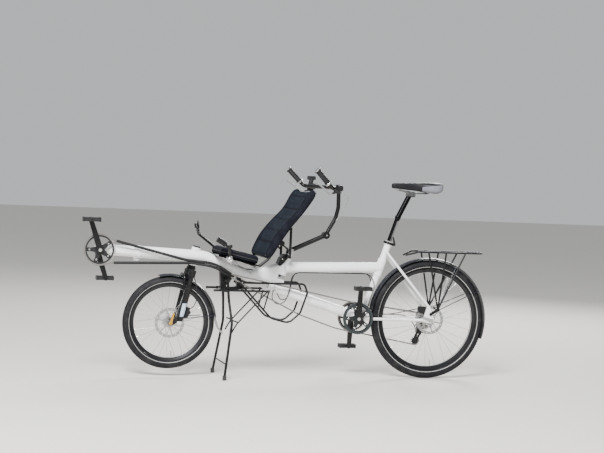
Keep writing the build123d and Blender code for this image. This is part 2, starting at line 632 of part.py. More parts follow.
# Rear rack: a tubular platform over the wheel, and legs down to the dropouts
rack_z = 712
rack_front_x = 66
rack_rear_x = -300
rack_half = 58
rack_radius = 5
rack_loop = [
    (150, 20, 690),
    (rack_front_x + 20, rack_half, rack_z),
    (rack_rear_x, rack_half, rack_z),
    (rack_rear_x, -rack_half, rack_z),
    (rack_front_x + 20, -rack_half, rack_z),
    (150, -20, 690),
]
platform = bent_rod(rack_loop, [40, 30, 30, 40], rack_radius)
for x in (50, -55, -160, -255):
    platform += rod((x, -rack_half, rack_z), (x, rack_half, rack_z), rack_radius - 1)
parts["rack_platform"] = platform
leg_foot = (-34, 76, REAR_AXLE_Z + 60)
legs = disc(leg_foot[0], leg_foot[2], 9, dropout_outer, 84)
for x in (30, -75, -190):
    legs += rod((x, rack_half + 6, rack_z), leg_foot, rack_radius)
foot_outline = linked((leg_foot[0], leg_foot[2], 8), (6, REAR_AXLE_Z + 34, 8))
legs += slab(foot_outline, dropout_outer, dropout_outer + 5)
legs -= platform
parts["rack_legs"] = Compound([*legs.solids(), *mirrored(legs).solids()])

# Rear fender: a curved band over the tyre, from the yoke round to the back
FORWARD_UP = Axis((0, 0, 0), (0, -1, 0))


def fender(centre, inner_radius, half_width, start_angle, span):
    """A thin band about an axle, crowned across, from an angle above straight ahead."""
    drop = 9
    thickness = 1.8
    arcs = []
    for crown in (inner_radius, inner_radius + thickness):
        arcs.append(ThreePointArc((crown - drop, -half_width), (crown, 0), (crown - drop, half_width)))
    inner, outer = arcs
    ends = [Line(outer @ 0, inner @ 0), Line(outer @ 1, inner @ 1)]
    band = revolve(make_face([*outer.edges(), *inner.edges(), *ends]), axis=FORWARD_UP, revolution_arc=span)
    return Pos(*centre) * Rot(0, -start_angle, 0) * band


rear_fender_radius = REAR_TYRE["radius"] + 13
rear_fender = fender(rear_centre, rear_fender_radius, 27, 8, 190)
towards_tube = Vector(cos(radians(SEAT_TUBE_LEAN)), 0, sin(radians(SEAT_TUBE_LEAN)))
fender_boss = Vector(*rear_centre) + towards_tube * (rear_fender_radius + 1)
seat_tube_seat = rod(seat_tube_point(340), seat_tube_point(SEAT_TUBE_TOP[1]), SEAT_TUBE_RADIUS + GAP)
rear_fender += rod(tuple(fender_boss), tuple(fender_boss + towards_tube * 12), 8) - seat_tube_seat
fender_stay = rod((-151, 28, 634), (leg_foot[0], 76, leg_foot[2] + 4), 2.5)
fender_stay += rod((-293, 28, 501), (leg_foot[0], 76, leg_foot[2] - 4), 2.5)
fender_stay -= parts["rack_legs"]
rear_fender += [*fender_stay.solids(), *mirrored(fender_stay).solids()]
parts["rear_fender"] = rear_fender

# Rear brake caliper: straddles the rotor inside the left stays, with its cable along the chain stay
caliper_point = (52, REAR_AXLE_Z + 58)
caliper_block = Pos(caliper_point[0], 49, caliper_point[1]) * Box(40, 26, 38)
caliper_body = fillet(caliper_block.edges().filter_by(Axis.Y), 8)
caliper_body -= disc(0, REAR_AXLE_Z, ROTOR_RADIUS + 3, 42, 48)
caliper_body += disc(*caliper_point, 18, 61, 68)
caliper_lug = linked((28, REAR_AXLE_Z + 22, 7), (*caliper_point, 9))
caliper_body += slab(caliper_lug, 61, dropout_inner)
caliper_body -= parts["seat_stay_left"]
caliper_body -= parts["chain_stay_left"]
cable_radius = 2.5
brake_start = [(66, 56, 398), (130, 58, 384), (230, 52, 362)]
shared_route = [(330, 44, 356), (370, 32, 374), (324, 29, 520)]
shared_route += [(352, 14, 580), (560, 14, 579), (770, 14, 577)]
brake_end = [(806, 34, 556), (815, 36, 480), (838, 36, 415), (884, 36, 398), (916, 36, 434), (904, 26, 478)]
brake_cable = cable([*brake_start, *shared_route, *brake_end], cable_radius) - main_tube_solid
caliper_body -= brake_cable
parts["rear_caliper"] = Compound([*caliper_body.solids(), *brake_cable.solids()])

# The gear cable runs to the derailleur as the brake's does to its caliper, on the other side of the wheel.
gear_start = [(40, -88, 284), (70, -80, 322), (110, -70, 346), (230, -52, 352)]
gear_end = [(798, 18, 546), (808, 31, 500), (828, 31, 434), (862, 31, 424), (884, 26, 462)]
gear_cable = cable([*gear_start, *[(x, -y, z) for x, y, z in shared_route], *gear_end], cable_radius)
gear_cable -= main_tube_solid
gear_cable -= parts["rear_derailleur"]
parts["rear_derailleur"] = Compound([*parts["rear_derailleur"].solids(), *gear_cable.solids()])

# Fork: upper part with steerer, crown and stanchions, in the fork's own frame
leg_y = 60
leg_radius = 17
stanchion_radius = 13
crown_top = -HEAD_TUBE["below"] - GAP
steerer = rod((0, 0, crown_top - 10), (0, 0, HEAD_TUBE["above"] + GAP), STEERER_RADIUS)
race = rod((0, 0, crown_top - 10), (0, 0, crown_top), 22)
top_cap = rod((0, 0, HEAD_TUBE["above"] + GAP), (0, 0, HEAD_TUBE["above"] + 8), 19)
crown_table = [(0, crown_top - 10, crown_top - 46, 25), (leg_y, crown_top - 24, crown_top - 62, 20)]
crown_front = Plane(origin=(0, 0, 0), x_dir=(0, 1, 0), z_dir=(1, 0, 0))
crown_web = Polyline(
    *[(y, top) for y, top, bottom, radius in crown_table],
    *[(y, bottom) for y, top, bottom, radius in reversed(crown_table)],
    close=True,
)
crown = extrude(crown_front * make_face(crown_web), amount=15, both=True)
crown += mirrored(crown)
for y, top, bottom, radius in crown_table:
    post = rod((0, y, bottom), (0, y, top), radius)
    crown += post + mirrored(post)
leg_cap = rod((0, leg_y, crown_table[1][1]), (0, leg_y, crown_table[1][1] + 3), 10)
stanchions = rod((0, leg_y, -190), (0, leg_y, crown_table[1][2]), stanchion_radius)
stanchions += leg_cap
arm_length = 58
rod_pin_radius = 4
upper_fork = steerer + race + top_cap + crown + stanchions + mirrored(stanchions)
fork_arm = linked((0, 0, 20), (0, -arm_length, 10))
fork_arm_z = crown_top - 10
upper_fork += Pos(0, 0, fork_arm_z) * extrude(fork_arm, amount=10)
upper_fork += rod((0, -arm_length, fork_arm_z), (0, -arm_length, fork_arm_z + 27), rod_pin_radius)
parts["upper_fork"] = fork_plane.location * upper_fork

# Lower fork: two legs, the arch in front of the crown, dropout lugs, and the axle with its lever on the left
leg_top = -166
leg_bottom = -372
lugs_inner = 50.3
lugs_outer = 60
leg_table = [
    # radius, z
    (leg_radius + 2, leg_top),
    (leg_radius + 2, leg_top - 14),
    (leg_radius, leg_top - 18),
    (leg_radius, leg_bottom + 60),
    (leg_radius - 4, leg_bottom),
]
leg = Pos(0, leg_y, 0) * turned_up([(0, leg_top), *leg_table, (0, leg_bottom)])
lug_outline = linked((FORK_RAKE, -FORK_LENGTH, 13), (2, leg_bottom + 26, 15))
lower = leg + slab(lug_outline, lugs_inner, lugs_outer)
lower = lower + mirrored(lower)
arch_points = [(22, leg_y, -178), (36, leg_y - 6, -110), (36, 6 - leg_y, -110), (22, -leg_y, -178)]
lower += bent_rod(arch_points, [26, 26], 7)
stanchion_bore = rod((0, leg_y, -192), (0, leg_y, leg_top), stanchion_radius)
lower -= stanchion_bore
lower -= mirrored(stanchion_bore)
fork_nut_end = lugs_outer + nut_length
axle = disc(FORK_RAKE, -FORK_LENGTH, AXLE_RADIUS, -fork_nut_end - 1, fork_nut_end + 1)
axle += disc(FORK_RAKE, -FORK_LENGTH, nut_radius, lugs_outer, fork_nut_end)
axle += disc(FORK_RAKE, -FORK_LENGTH, nut_radius, -fork_nut_end, -lugs_outer)
fork_lever = linked((FORK_RAKE, -FORK_LENGTH, 7), (FORK_RAKE - 2, 54 - FORK_LENGTH, 5))
axle += slab(fork_lever, fork_nut_end - 2, fork_nut_end + 3)
parts["lower_fork"] = fork_plane.location * (lower + axle)

# Front fender with its flap and the stay from the left leg, and its mirror
front_fender_radius = FRONT_TYRE["radius"] + 11
front_fender = fender(front_centre, front_fender_radius, 29, 76, 97)
flap_top = (1222, 322)
flap_outline = Polyline(flap_top, (1205, 268), (1177, 235), (1174, 238), (1201, 271), (1219, 324), close=True)
front_fender += slab(make_face(flap_outline), -24, 24)
front_stay = rod((1404, 66, 318), (1222, 28, 335), 2.5)
front_fender += [*front_stay.solids(), *mirrored(front_stay).solids()]
parts["front_fender"] = front_fender - parts["lower_fork"]

# Front brake caliper: behind the left fork leg, over the rotor, with its hose up to the crown
caliper_z = 74 - FORK_LENGTH
front_caliper_block = Pos(-24, 43, caliper_z) * Box(30, 26, 62)
front_caliper = fillet(front_caliper_block.edges().filter_by(Axis.Y), 7)
front_caliper -= disc(FORK_RAKE, -FORK_LENGTH, ROTOR_RADIUS + 3, 32, 38)
front_caliper += disc(-33, caliper_z + 4, 13, 55, 61)
hose_route = [(-32, 48, -286), (-52, 58, -268), (-60, 62, -236)]
hose_route += [(-54, 62, -190), (-34, 62, -140), (-14, 60, -108)]
front_caliper += cable(hose_route, 2.5)
front_caliper -= lower
front_caliper -= upper_fork
parts["front_caliper"] = fork_plane.location * front_caliper

# Steering column of the rear rider: a spindle in the steering head, with an arm below and a cap above
column_plane = Plane(
    origin=column_point(COLUMN_TOP[1]),
    x_dir=(cos(radians(COLUMN_LEAN)), 0, sin(radians(COLUMN_LEAN))),
    z_dir=(-sin(radians(COLUMN_LEAN)), 0, cos(radians(COLUMN_LEAN))),
)
head_low = -STEERING_HEAD["below"] / cos(radians(COLUMN_LEAN))
head_high = -STEERING_HEAD["above"] / cos(radians(COLUMN_LEAN))
column = rod((0, 0, head_low - 14), (0, 0, 24), COLUMN_RADIUS)
column += rod((0, 0, head_high + GAP), (0, 0, 22), 20)
column += rod((0, 0, head_low - 14), (0, 0, head_low - GAP), 20)
column_arm = linked((0, 0, 17), (0, -arm_length, 10))
column += Pos(0, 0, head_low - 14) * extrude(column_arm, amount=8)
column += rod((0, -arm_length, head_low - 14), (0, -arm_length, head_low + 16), rod_pin_radius)
parts["steering_column"] = column_plane.location * column

# Steering rod: joins the arm of the column to the arm on the right of the fork's crown. The eye at the
# front is wide, because its ball end lets the two steering axes lean differently.
rod_end = {"rear": (head_low - 1, head_low + 13), "front": (fork_arm_z + 13, fork_arm_z + 25)}
rod_rear = column_plane.from_local_coords(Vector(0, -arm_length, sum(rod_end["rear"]) / 2))
rod_front = fork_plane.from_local_coords(Vector(0, -arm_length, sum(rod_end["front"]) / 2))
steering_rod = rod(tuple(rod_rear), tuple(rod_front), 5)
for plane, end, eye, hole in (
    (column_plane, "rear", 10, rod_pin_radius + FIT),
    (fork_plane, "front", 13, rod_pin_radius + 4),
):
    low, high = ((0, -arm_length, z) for z in rod_end[end])
    steering_rod += plane.location * rod(low, high, eye)
    steering_rod -= plane.location * rod(low, high, hole)
parts["steering_rod"] = steering_rod

# Long stem, from the column's cap back to a clamp joint, and a thinner riser up to the handlebar
bar_centre = (550, 0, 1049)
stem_joint = (614, 0, 786)
stem_start = column_plane.from_local_coords(Vector(0, 0, 10))
stem = rod(tuple(stem_start), stem_joint, 13)
stem += bent_rod([stem_joint, (562, 0, 880), (548, 0, 940), bar_centre], [90, 90], 11)
stem += disc(stem_joint[0], stem_joint[2], 20, -19, 19) + disc(stem_joint[0], stem_joint[2], 8, -24, 24)
stem += disc(bar_centre[0], bar_centre[2], 19, -22, 22)
bar_radius = 11.1
stem -= disc(bar_centre[0], bar_centre[2], bar_radius, -24, 24)
parts["stem"] = stem - parts["steering_column"]

# Handlebar: swept forward to its bends, with grips that point forward and up
bar_bend = (671, 285, 1050)
bar_tip = (762, 300, 1142)
bar_straight = 40
bar_points = [
    (bar_tip[0], -bar_tip[1], bar_tip[2]),
    (bar_bend[0], -bar_bend[1], bar_bend[2]),
    (bar_centre[0], -bar_straight, bar_centre[2]),
    (bar_centre[0], bar_straight, bar_centre[2]),
    bar_bend,
    bar_tip,
]
parts["handlebar"] = bent_rod(bar_points, [30, 60, 60, 30], bar_radius)
grip_run = Vector(*bar_tip) - Vector(*bar_bend)
grip_start = tuple(Vector(*bar_bend) + grip_run * 0.3)
grip = pipe(grip_start, bar_tip, 15, 15 - bar_radius)
for share in (0.3, 0.94):
    ring_start = Vector(*bar_bend) + grip_run * share
    grip += pipe(tuple(ring_start), tuple(ring_start + grip_run * 0.06), 17, 17 - bar_radius)
perch_middle = Vector(*bar_bend) + Vector(-46, -21, 0)
perch_run = Vector(0.9, 0.42, 0)
perch = rod(tuple(perch_middle - perch_run * 14), tuple(perch_middle + perch_run * 14), 17)
perch += Pos(perch_middle.X + 14, perch_middle.Y + 4, perch_middle.Z - 18) * Box(34, 18, 20)
blade = bent_rod([(634, 270, 1030), (684, 284, 1018), (736, 298, 1059), (768, 304, 1078)], [20, 30], 5)
lever = perch + blade
lever -= parts["handlebar"]
lever -= grip
cable_route = [(622, 260, 1030), (566, 200, 1016), (524, 110, 1002)]
cable_route += [(512, 40, 968), (527, 22, 915), (560, 8, 868)]
brake_cable = cable(cable_route, 2.5)
controls = [*grip.solids(), *lever.solids()]
parts["grip_left"] = Compound(controls) + brake_cable - parts["stem"]
shifter = Pos(628, 290, 1097) * fillet(Box(46, 30, 22).edges(), 5)
shifter += rod((628, 286, 1090), (640, 272, 1050), 13)
shifter -= parts["handlebar"]
shifter -= Compound(controls)
parts["grip_right"] = mirrored(Compound([*controls, *shifter.solids()]))

# Seat mount: clamps on the front tube and carries the cushion's pan and the side handles
pan_front = (1240, 670)
pan_rear = (1010, 618)
pan_thickness = 8
pan_half = 135
pan_under = [(x, z - pan_thickness) for x, z in (pan_front, pan_rear)]
pan_outline = make_face(Polyline(pan_rear, pan_front, *pan_under, close=True))
mount = slab(pan_outline, -pan_half, pan_half)
post_outline = make_face(Polyline((1225, 662), (1110, 640), (1110, 596), (1225, 640), close=True))
mount += slab(post_outline, -20, 20)
knob_point = (1186, 651)
knob_end = 163
mount += slab(linked((1186, 643, 12), (1150, 634, 9), (1196, 624, 10)), -24, 24)
mount += disc(*knob_point, 6, -knob_end + 13, knob_end - 13)
for side in (1, -1):
    mount += disc(*knob_point, 19, side * (knob_end - 13), side * knob_end)
    mount -= disc(*knob_point, 5, side * (knob_end - 3), side * knob_end)
    mount += disc(1150, 618, 12, side * 24, side * 34)
cradle = (1022, 604)
mount += disc(*cradle, 7, -100, 100)
for y in (-70, 70):
    mount += rod((cradle[0], y, cradle[1]), (1150, y, 644), 4)
parts["seat_mount"] = mount - front_tube_outer

# Seat cushion: a plain closed solid on the pan
cushion_top = [(pan_front[0] + 6, pan_front[1] + 30), (pan_rear[0], pan_rear[1] + 40)]
cushion_outline = make_face(Polyline(pan_rear, pan_front, *cushion_top, close=True))
parts["seat_cushion"] = slab(cushion_outline, -150, 150)

# Seat back: two side tubes with cross tubes, reclined
back_low = (978, 652)
back_high = (730, 1022)
back_half = 165
back_radius = 8
back_run = Vector(back_high[0] - back_low[0], 0, back_high[1] - back_low[1])
normal = Vector(back_run.Z, 0, -back_run.X).normalized()
back_bow = 10


def back_point(share, forward):
    """A point (x, z) of the seat back, by its share of the height and its distance in front of the frame."""
    bow = back_bow * (1 - abs(2 * share - 1)) + forward
    x = back_low[0] + back_run.X * share + normal.X * bow
    z = back_low[1] + back_run.Z * share + normal.Z * bow
    return (x, z)


back_foot = (pan_rear[0] + 12, pan_rear[1] - 1.3)
side_points = [
    (back_foot[0], back_half - 3, back_foot[1]),
    (back_low[0], back_half, back_low[1]),
    (back_point(0.5, 0)[0], back_half + 2, back_point(0.5, 0)[1]),
    (back_high[0], back_half, back_high[1]),
]
side_tube = bent_rod(side_points, [30, 200], back_radius)
side_tube += disc(*back_foot, 3.9, pan_half, back_half + 6)
back_frame = side_tube + mirrored(side_tube)
for share in (0.03, 0.5, 0.97):
    x, z = back_point(share, -3)
    back_frame += rod((x, -back_half, z), (x, back_half, z), back_radius - 1)
parts["seat_back_frame"] = back_frame

# Seat back sling: the mesh panel with its side pads, in front of the frame
sling_back = back_radius + GAP
sling_front = sling_back + 28
sling_rear_points = [back_point(share, sling_back) for share in (0.02, 0.5, 0.98)]
sling_front_points = [back_point(share, sling_front) for share in (0.98, 0.5, 0.02)]
sling_outline = make_face(Polyline(*sling_rear_points, *sling_front_points, close=True))
parts["seat_back_sling"] = slab(sling_outline, -175, 175)

# Seat back stays: from the middle of the back down to a cross bar on the frame, with a knob on each side
stay_foot = (838, 100, 664)
stay_head = (back_low[0] + 0.5 * back_run.X - 16, 100, back_low[1] + 0.5 * back_run.Z - 12)
stays = rod(stay_foot, stay_head, 7)
stays += rod((887, 92, 738), (stay_foot[0], 100, stay_foot[2] + 30), 5) + disc(887, 738, 15, 92, 108)
stay_cross = rod((stay_foot[0], -100, stay_foot[2]), (stay_foot[0], 100, stay_foot[2]), 8)
stay_clamp = slab(linked((*stay_foot[::2], 13), (862, 650, 11), (874, 622, 10)), -30, 30)
back_stays = stays + mirrored(stays) + stay_cross + stay_clamp
back_stays -= gusset_loft(0) + steering_head_solid
back_stays -= back_frame
parts["seat_back_stays"] = back_stays - parts["steering_column"]

# Side handles: bent bars beside the cushion for the front rider, the left one set lower than the right
handle_radius = 8
handle_root = (knob_point[0] + 6, 144, knob_point[1])
left_handle_run = [handle_root, (1190, 180, 668), (1191, 187, 706), (1214, 187, 728), (1262, 187, 755)]
right_handle_run = [handle_root, (1190, 178, 668), (1204, 184, 700), (1290, 184, 764), (1303, 184, 822)]
left_handle = bent_rod(left_handle_run, [14, 20, 30], handle_radius)
left_handle += rod(left_handle_run[-2], left_handle_run[-1], 15)
left_handle += rod((1190, 186, 712), (1192, 187, 726), 12)
right_handle = bent_rod(right_handle_run, [14, 30, 26], handle_radius)
right_handle += rod((1298, 184, 798), right_handle_run[-1], 14)
right_handle += bent_rod([(1280, 190, 768), (1284, 204, 790), (1292, 206, 836)], [10], 4)
for side, word, handle in ((1, "left", left_handle), (-1, "right", mirrored(right_handle))):
    handle -= parts["seat_mount"]
    parts["handle_" + word] = handle - parts["seat_cushion"]

# Low rack: rails that end ahead of the stand in short stubs, and loops beside the frame. A bag hangs on it.
rail_front = 1250
rail_stub = 56
rail = rod((944, RAIL_HALF, RAIL_Z), (1180, RAIL_HALF, RAIL_Z), 5.5)
rail += rod((1178, RAIL_HALF, RAIL_Z), (rail_front - rail_stub, RAIL_HALF, RAIL_Z), 9)
rail += rod((rail_front - rail_stub, RAIL_HALF, RAIL_Z), (rail_front, RAIL_HALF, RAIL_Z), RAIL_RADIUS)
rail_cross = rod((946, LOOP_HALF, RAIL_Z), (946, RAIL_HALF, RAIL_Z), 4)
rail_cross += rod((1040, LOOP_HALF, RAIL_Z - 2), (1040, RAIL_HALF, RAIL_Z), 4)
loop_table = [(1105, 518), (1085, 500), (922, 328), (820, 304)]
loop_table += [(758, 360), (722, 470), (740, 518), (1085, 518)]
loop = bent_rod([(x, LOOP_HALF, z) for x, z in loop_table], [10, 70, 50, 50, 30, 24], 5.5)
loop += rod((939, LOOP_HALF, 471), (963, LOOP_HALF, 376), 4)
strut = bent_rod([(948, 84, RAIL_Z), (1112, 84, 298), (1128, 84, 272), (1140, 84, 248)], [12, 20], 4)
strut += rod((1106, 84, 304), (1136, 84, 314), 4)
low_rack = rail + rail_cross + loop + strut
parts["low_rack_left"] = low_rack
parts["low_rack_right"] = mirrored(low_rack)

# Stand bracket: hangs under the front tube and carries the stand's bolt, the rack's front bar and its bridge
bridge_point = (1078, 487)
front_bar_point = (1186, RAIL_Z)
bracket_half = 16
bracket_outline = linked(
    (1190, 588, 14),
    (*STAND_PIVOT, 17),
    (*front_bar_point, 10),
    (*bridge_point, 9),
    (1110, 570, 14),
)
bracket = slab(bracket_outline, -bracket_half, bracket_half)
bracket -= slab(linked((1158, 496, 8), (1112, 498, 6), (1118, 540, 8)), -bracket_half, bracket_half)
bracket = bracket - front_tube_outer - gusset_loft(0)
bracket += disc(*STAND_PIVOT, AXLE_RADIUS, -STAND_PIVOT_HALF - 14, STAND_PIVOT_HALF + 14)
for side in (1, -1):
    bracket += disc(*STAND_PIVOT, nut_radius, side * (STAND_PIVOT_HALF + 11), side * (STAND_PIVOT_HALF + 20))
bracket += disc(*front_bar_point, 6, -RAIL_HALF, RAIL_HALF)
bracket += disc(*bridge_point, 5.5, -LOOP_HALF, LOOP_HALF)
parts["stand_bracket"] = bracket - low_rack - mirrored(low_rack)

# Stand legs: each hangs on a sleeve, bends out at the knee to a rubber foot, and a bar joins them low down
sleeve_radius = 11
leg_route = [
    (STAND_PIVOT[0], STAND_PIVOT_HALF, STAND_PIVOT[1]),
    (1161, STAND_PIVOT_HALF, 430),
    (1147, 112, 300),
    (STAND_FOOT_X, STAND_FOOT_HALF, 12),
]
stand_leg = bent_rod(leg_route, [70, 90], STAND_LEG_RADIUS)
stand_leg += rod((STAND_FOOT_X, STAND_FOOT_HALF, 0), (STAND_FOOT_X, STAND_FOOT_HALF, 26), 11)
stand_leg += disc(*STAND_PIVOT, sleeve_radius, bracket_half + GAP, STAND_PIVOT_HALF + 10)
stand = stand_leg + mirrored(stand_leg)
stand += disc(1177, 84, 4, -143, 143)
stand -= disc(*STAND_PIVOT, AXLE_RADIUS + FIT, -STAND_PIVOT_HALF - 12, STAND_PIVOT_HALF + 12)
parts["stand_legs"] = stand

# Every piece is moved together, so that the bicycle stands centred over the origin.
everything = Compound([solid for piece in parts.values() for solid in piece.solids()])
box = everything.bounding_box()
centring = Pos(-(box.min.X + box.max.X) / 2, -(box.min.Y + box.max.Y) / 2, 0)
os.makedirs("parts", exist_ok=True)
for name, piece in parts.items():
    export_step(Compound([centring * solid for solid in piece.solids()]), f"parts/{name}.step")
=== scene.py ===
import math

import bmesh
import bpy
from mathutils import Matrix, Vector


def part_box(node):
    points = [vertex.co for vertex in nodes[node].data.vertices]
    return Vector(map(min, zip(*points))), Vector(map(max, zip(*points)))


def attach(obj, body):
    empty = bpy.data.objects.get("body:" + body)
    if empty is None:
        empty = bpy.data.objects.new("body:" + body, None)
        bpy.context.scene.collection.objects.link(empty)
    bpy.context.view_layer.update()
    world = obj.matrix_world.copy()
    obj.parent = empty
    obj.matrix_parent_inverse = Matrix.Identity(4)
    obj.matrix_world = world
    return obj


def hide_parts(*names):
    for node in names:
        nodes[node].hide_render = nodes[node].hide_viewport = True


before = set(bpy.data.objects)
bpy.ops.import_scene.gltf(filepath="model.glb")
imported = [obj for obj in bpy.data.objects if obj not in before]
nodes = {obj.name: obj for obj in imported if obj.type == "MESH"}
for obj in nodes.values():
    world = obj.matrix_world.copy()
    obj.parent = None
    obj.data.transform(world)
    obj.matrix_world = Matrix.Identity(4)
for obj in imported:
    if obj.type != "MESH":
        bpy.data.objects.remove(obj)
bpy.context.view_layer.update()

# The studio: a plain pale floor under an even pale sky, one large soft lamp overhead on the camera's side, and
# a weaker one behind the bicycle, so the black tubes keep a light edge.
world = bpy.data.worlds.new("studio_air")
bpy.context.scene.world = world
world.use_nodes = True
backdrop = world.node_tree.nodes["Background"]
backdrop.inputs["Color"].default_value = (0.93, 0.95, 0.97, 1)
backdrop.inputs["Strength"].default_value = 0.62
FAR = 30


def placed(name, data):
    """A new object in the scene, from its data."""
    item = bpy.data.objects.new(name, data)
    bpy.context.collection.objects.link(item)
    return item


floor_mesh = bpy.data.meshes.new("floor")
floor_corners = [(-FAR, -FAR, 0), (FAR, -FAR, 0), (FAR, FAR, 0), (-FAR, FAR, 0)]
floor_mesh.from_pydata(floor_corners, [], [(0, 1, 2, 3)])
floor = placed("floor", floor_mesh)
floor_finish = bpy.data.materials.new("pale_floor")
floor_finish.use_nodes = True
floor_shader = floor_finish.node_tree.nodes["Principled BSDF"]
floor_shader.inputs["Base Color"].default_value = (0.66, 0.64, 0.6, 1)
floor_shader.inputs["Roughness"].default_value = 0.85
floor_mesh.materials.append(floor_finish)


def soft_lamp(name, place, aim, size, power):
    """A square area lamp at a place, turned to face a point."""
    data = bpy.data.lights.new(name, "AREA")
    data.size = size
    data.energy = power
    lamp = placed(name, data)
    lamp.location = place
    lamp.rotation_euler = (Vector(aim) - Vector(place)).to_track_quat("-Z", "Y").to_euler()


soft_lamp("key_lamp", (2.5, 4.5, 5.0), (0, 0, 0.5), 2.5, 1150)
soft_lamp("back_lamp", (-3, -4, 3.5), (0, 0, 0.6), 2, 300)

# The camera stands to the left of the bicycle and a little ahead of it, at the height of the handlebar, and is
# tilted two and a half degrees. Its place and lens come from the two wheels, the stand and the handlebar.
CAMERA_PLACE = Vector((2.187, 8.227, 1.138))
CAMERA_AIM = Vector((-0.2632, -0.9641, -0.0361)).normalized()
CAMERA_ROLL = math.radians(2.48)
FOCAL_LENGTH, PICTURE_WIDTH = 1554.93, 604  # both in pixels
SENSOR_WIDTH = 36
level_right = CAMERA_AIM.cross(Vector((0, 0, 1))).normalized()
level_up = level_right.cross(CAMERA_AIM)
right = level_right * math.cos(CAMERA_ROLL) + level_up * math.sin(CAMERA_ROLL)
up = level_up * math.cos(CAMERA_ROLL) - level_right * math.sin(CAMERA_ROLL)
camera_data = bpy.data.cameras.new("camera")
camera_data.sensor_width = SENSOR_WIDTH
camera_data.lens = FOCAL_LENGTH / PICTURE_WIDTH * SENSOR_WIDTH
camera = placed("camera", camera_data)
camera_turn = Matrix((right, up, -CAMERA_AIM)).transposed().to_4x4()
camera.matrix_world = Matrix.Translation(CAMERA_PLACE) @ camera_turn
bpy.context.scene.camera = camera

# Frame tubes: welded aluminium, sprayed gloss white and lacquered. The coat has a faint ripple, and the tubes
# near the floor and the chain are a little greyer with road dust.
SIDES = ("_left", "_right")
FRAME_TUBES = (
    "boom",
    "front_tube",
    "frame_gusset",
    "top_tube",
    "rear_main_tube",
    "seat_tube",
    *("chain_stay" + side for side in SIDES),
    *("seat_stay" + side for side in SIDES),
)
REAR_AXLE_X = -809.773


def spot(x, y, z):
    """A point in metres from millimetres ahead of the rear axle, to the left and above the floor."""
    return Vector(((x + REAR_AXLE_X) / 1000, y / 1000, z / 1000))


class Finish:
    """A material on one shader: uniform values sit on the shader, and the calls add what varies over it."""

    def __init__(self, name, colour, metallic=0.0, roughness=0.5, coat=0.0, shine=0.5):
        self.material = bpy.data.materials.new(name)
        self.material.use_nodes = True
        self.tree = self.material.node_tree
        self.shader = self.tree.nodes["Principled BSDF"]
        uniform = {
            "Base Color": (*colour, 1),
            "Metallic": metallic,
            "Roughness": roughness,
            "Coat Weight": coat,
            "Coat Roughness": 0.06,
            "Specular IOR Level": shine,
        }
        for socket, value in uniform.items():
            self.shader.inputs[socket].default_value = value
        self.colour = colour
        self.place = self.tree.nodes.new("ShaderNodeTexCoord").outputs["Object"]
        self.height = None

    def add(self, kind, **settings):
        """A node with its settings. A name that is a socket gets its value or its link."""
        node = self.tree.nodes.new("ShaderNode" + kind)
        for key, value in settings.items():
            if hasattr(node, key):
                setattr(node, key, value)
                continue
            socket = node.inputs[int(key[3:]) if key.startswith("in_") else key.replace("_", " ")]
            if isinstance(value, bpy.types.NodeSocket):
                self.tree.links.new(value, socket)
            else:
                socket.default_value = value
        return node

    def vector(self, operation, first, second=(0, 0, 0)):
        """One sum of two vectors."""
        return self.add("VectorMath", operation=operation, in_0=first, in_1=second).outputs

    def noise(self, scale, detail=3.0, stretch=(1, 1, 1)):
        """A cloudy value from 0 to 1, with the given number of spots a metre, drawn out along the axes."""
        where = self.vector("MULTIPLY", self.place, stretch)[0]
        return self.add("TexNoise", Vector=where, Scale=scale, Detail=detail).outputs["Fac"]

    def between(self, value, low, high, to_low=0.0, to_high=1.0):
        """The value mapped from one range to another, and held inside it."""
        ranges = {"From_Min": low, "From_Max": high, "To_Min": to_low, "To_Max": to_high}
        return self.add("MapRange", Value=value, **ranges).outputs[0]

    def tint(self, value, colour):
        """Another colour where the value is 1, laid over what is there."""
        base = self.shader.inputs["Base Color"]
        mix = self.add("Mix", data_type="RGBA", in_0=value, in_7=(*colour, 1))
        if base.is_linked:
            self.tree.links.new(base.links[0].from_socket, mix.inputs[6])
        else:
            mix.inputs[6].default_value = (*self.colour, 1)
        self.tree.links.new(mix.outputs[2], base)
        return self

    def mottle(self, scale, detail, share, colour, low=0.5, high=0.8):
        """Soft patches of another colour, with at most the given share of it."""
        return self.tint(self.between(self.noise(scale, detail), low, high, 0, share), colour)

    def rough(self, value, smooth, dull):
        """Roughness that runs between two values."""
        self.tree.links.new(self.between(value, 0.3, 0.7, smooth, dull), self.shader.inputs["Roughness"])
        return self

    def relief(self, value, depth, strength=0.5):
        """A bump of a depth in metres, on top of any before it."""
        bump = self.add("Bump", Strength=strength, Distance=depth, Height=value)
        if self.height is not None:
            self.tree.links.new(self.height, bump.inputs["Normal"])
        self.height = bump.outputs[0]
        self.tree.links.new(self.height, self.shader.inputs["Normal"])
        return self

    def axes(self):
        """How far ahead, left and up a place on the surface lies, and how far out to either side, in metres."""
        ahead, left, height = self.add("SeparateXYZ", Vector=self.place).outputs
        return ahead, left, height, self.math("ABSOLUTE", left)

    def reach(self, centre):
        """How far a place lies from an axle that runs across the bicycle through a centre, in metres."""
        away = self.vector("SUBTRACT", self.place, tuple(centre))[0]
        return self.vector("LENGTH", self.vector("MULTIPLY", away, (1, 0, 1))[0])["Value"]

    def math(self, operation, first, second=0.0):
        """One sum of two values."""
        return self.add("Math", operation=operation, in_0=first, in_1=second).outputs[0]

    def above(self, slope):
        """The height over a plane that rises with a slope towards the front, in metres."""
        ahead, left, height, outward = self.axes()
        return self.math("SUBTRACT", height, self.math("MULTIPLY", ahead, slope))

    def patch(self, colour, *parts):
        """A colour that comes in where every value goes from its first limit to its second: (value, limits)."""
        whole = 1.0
        for value, limits in parts:
            whole = self.math("MULTIPLY", self.between(value, *limits), whole)
        return self.tint(whole, colour)


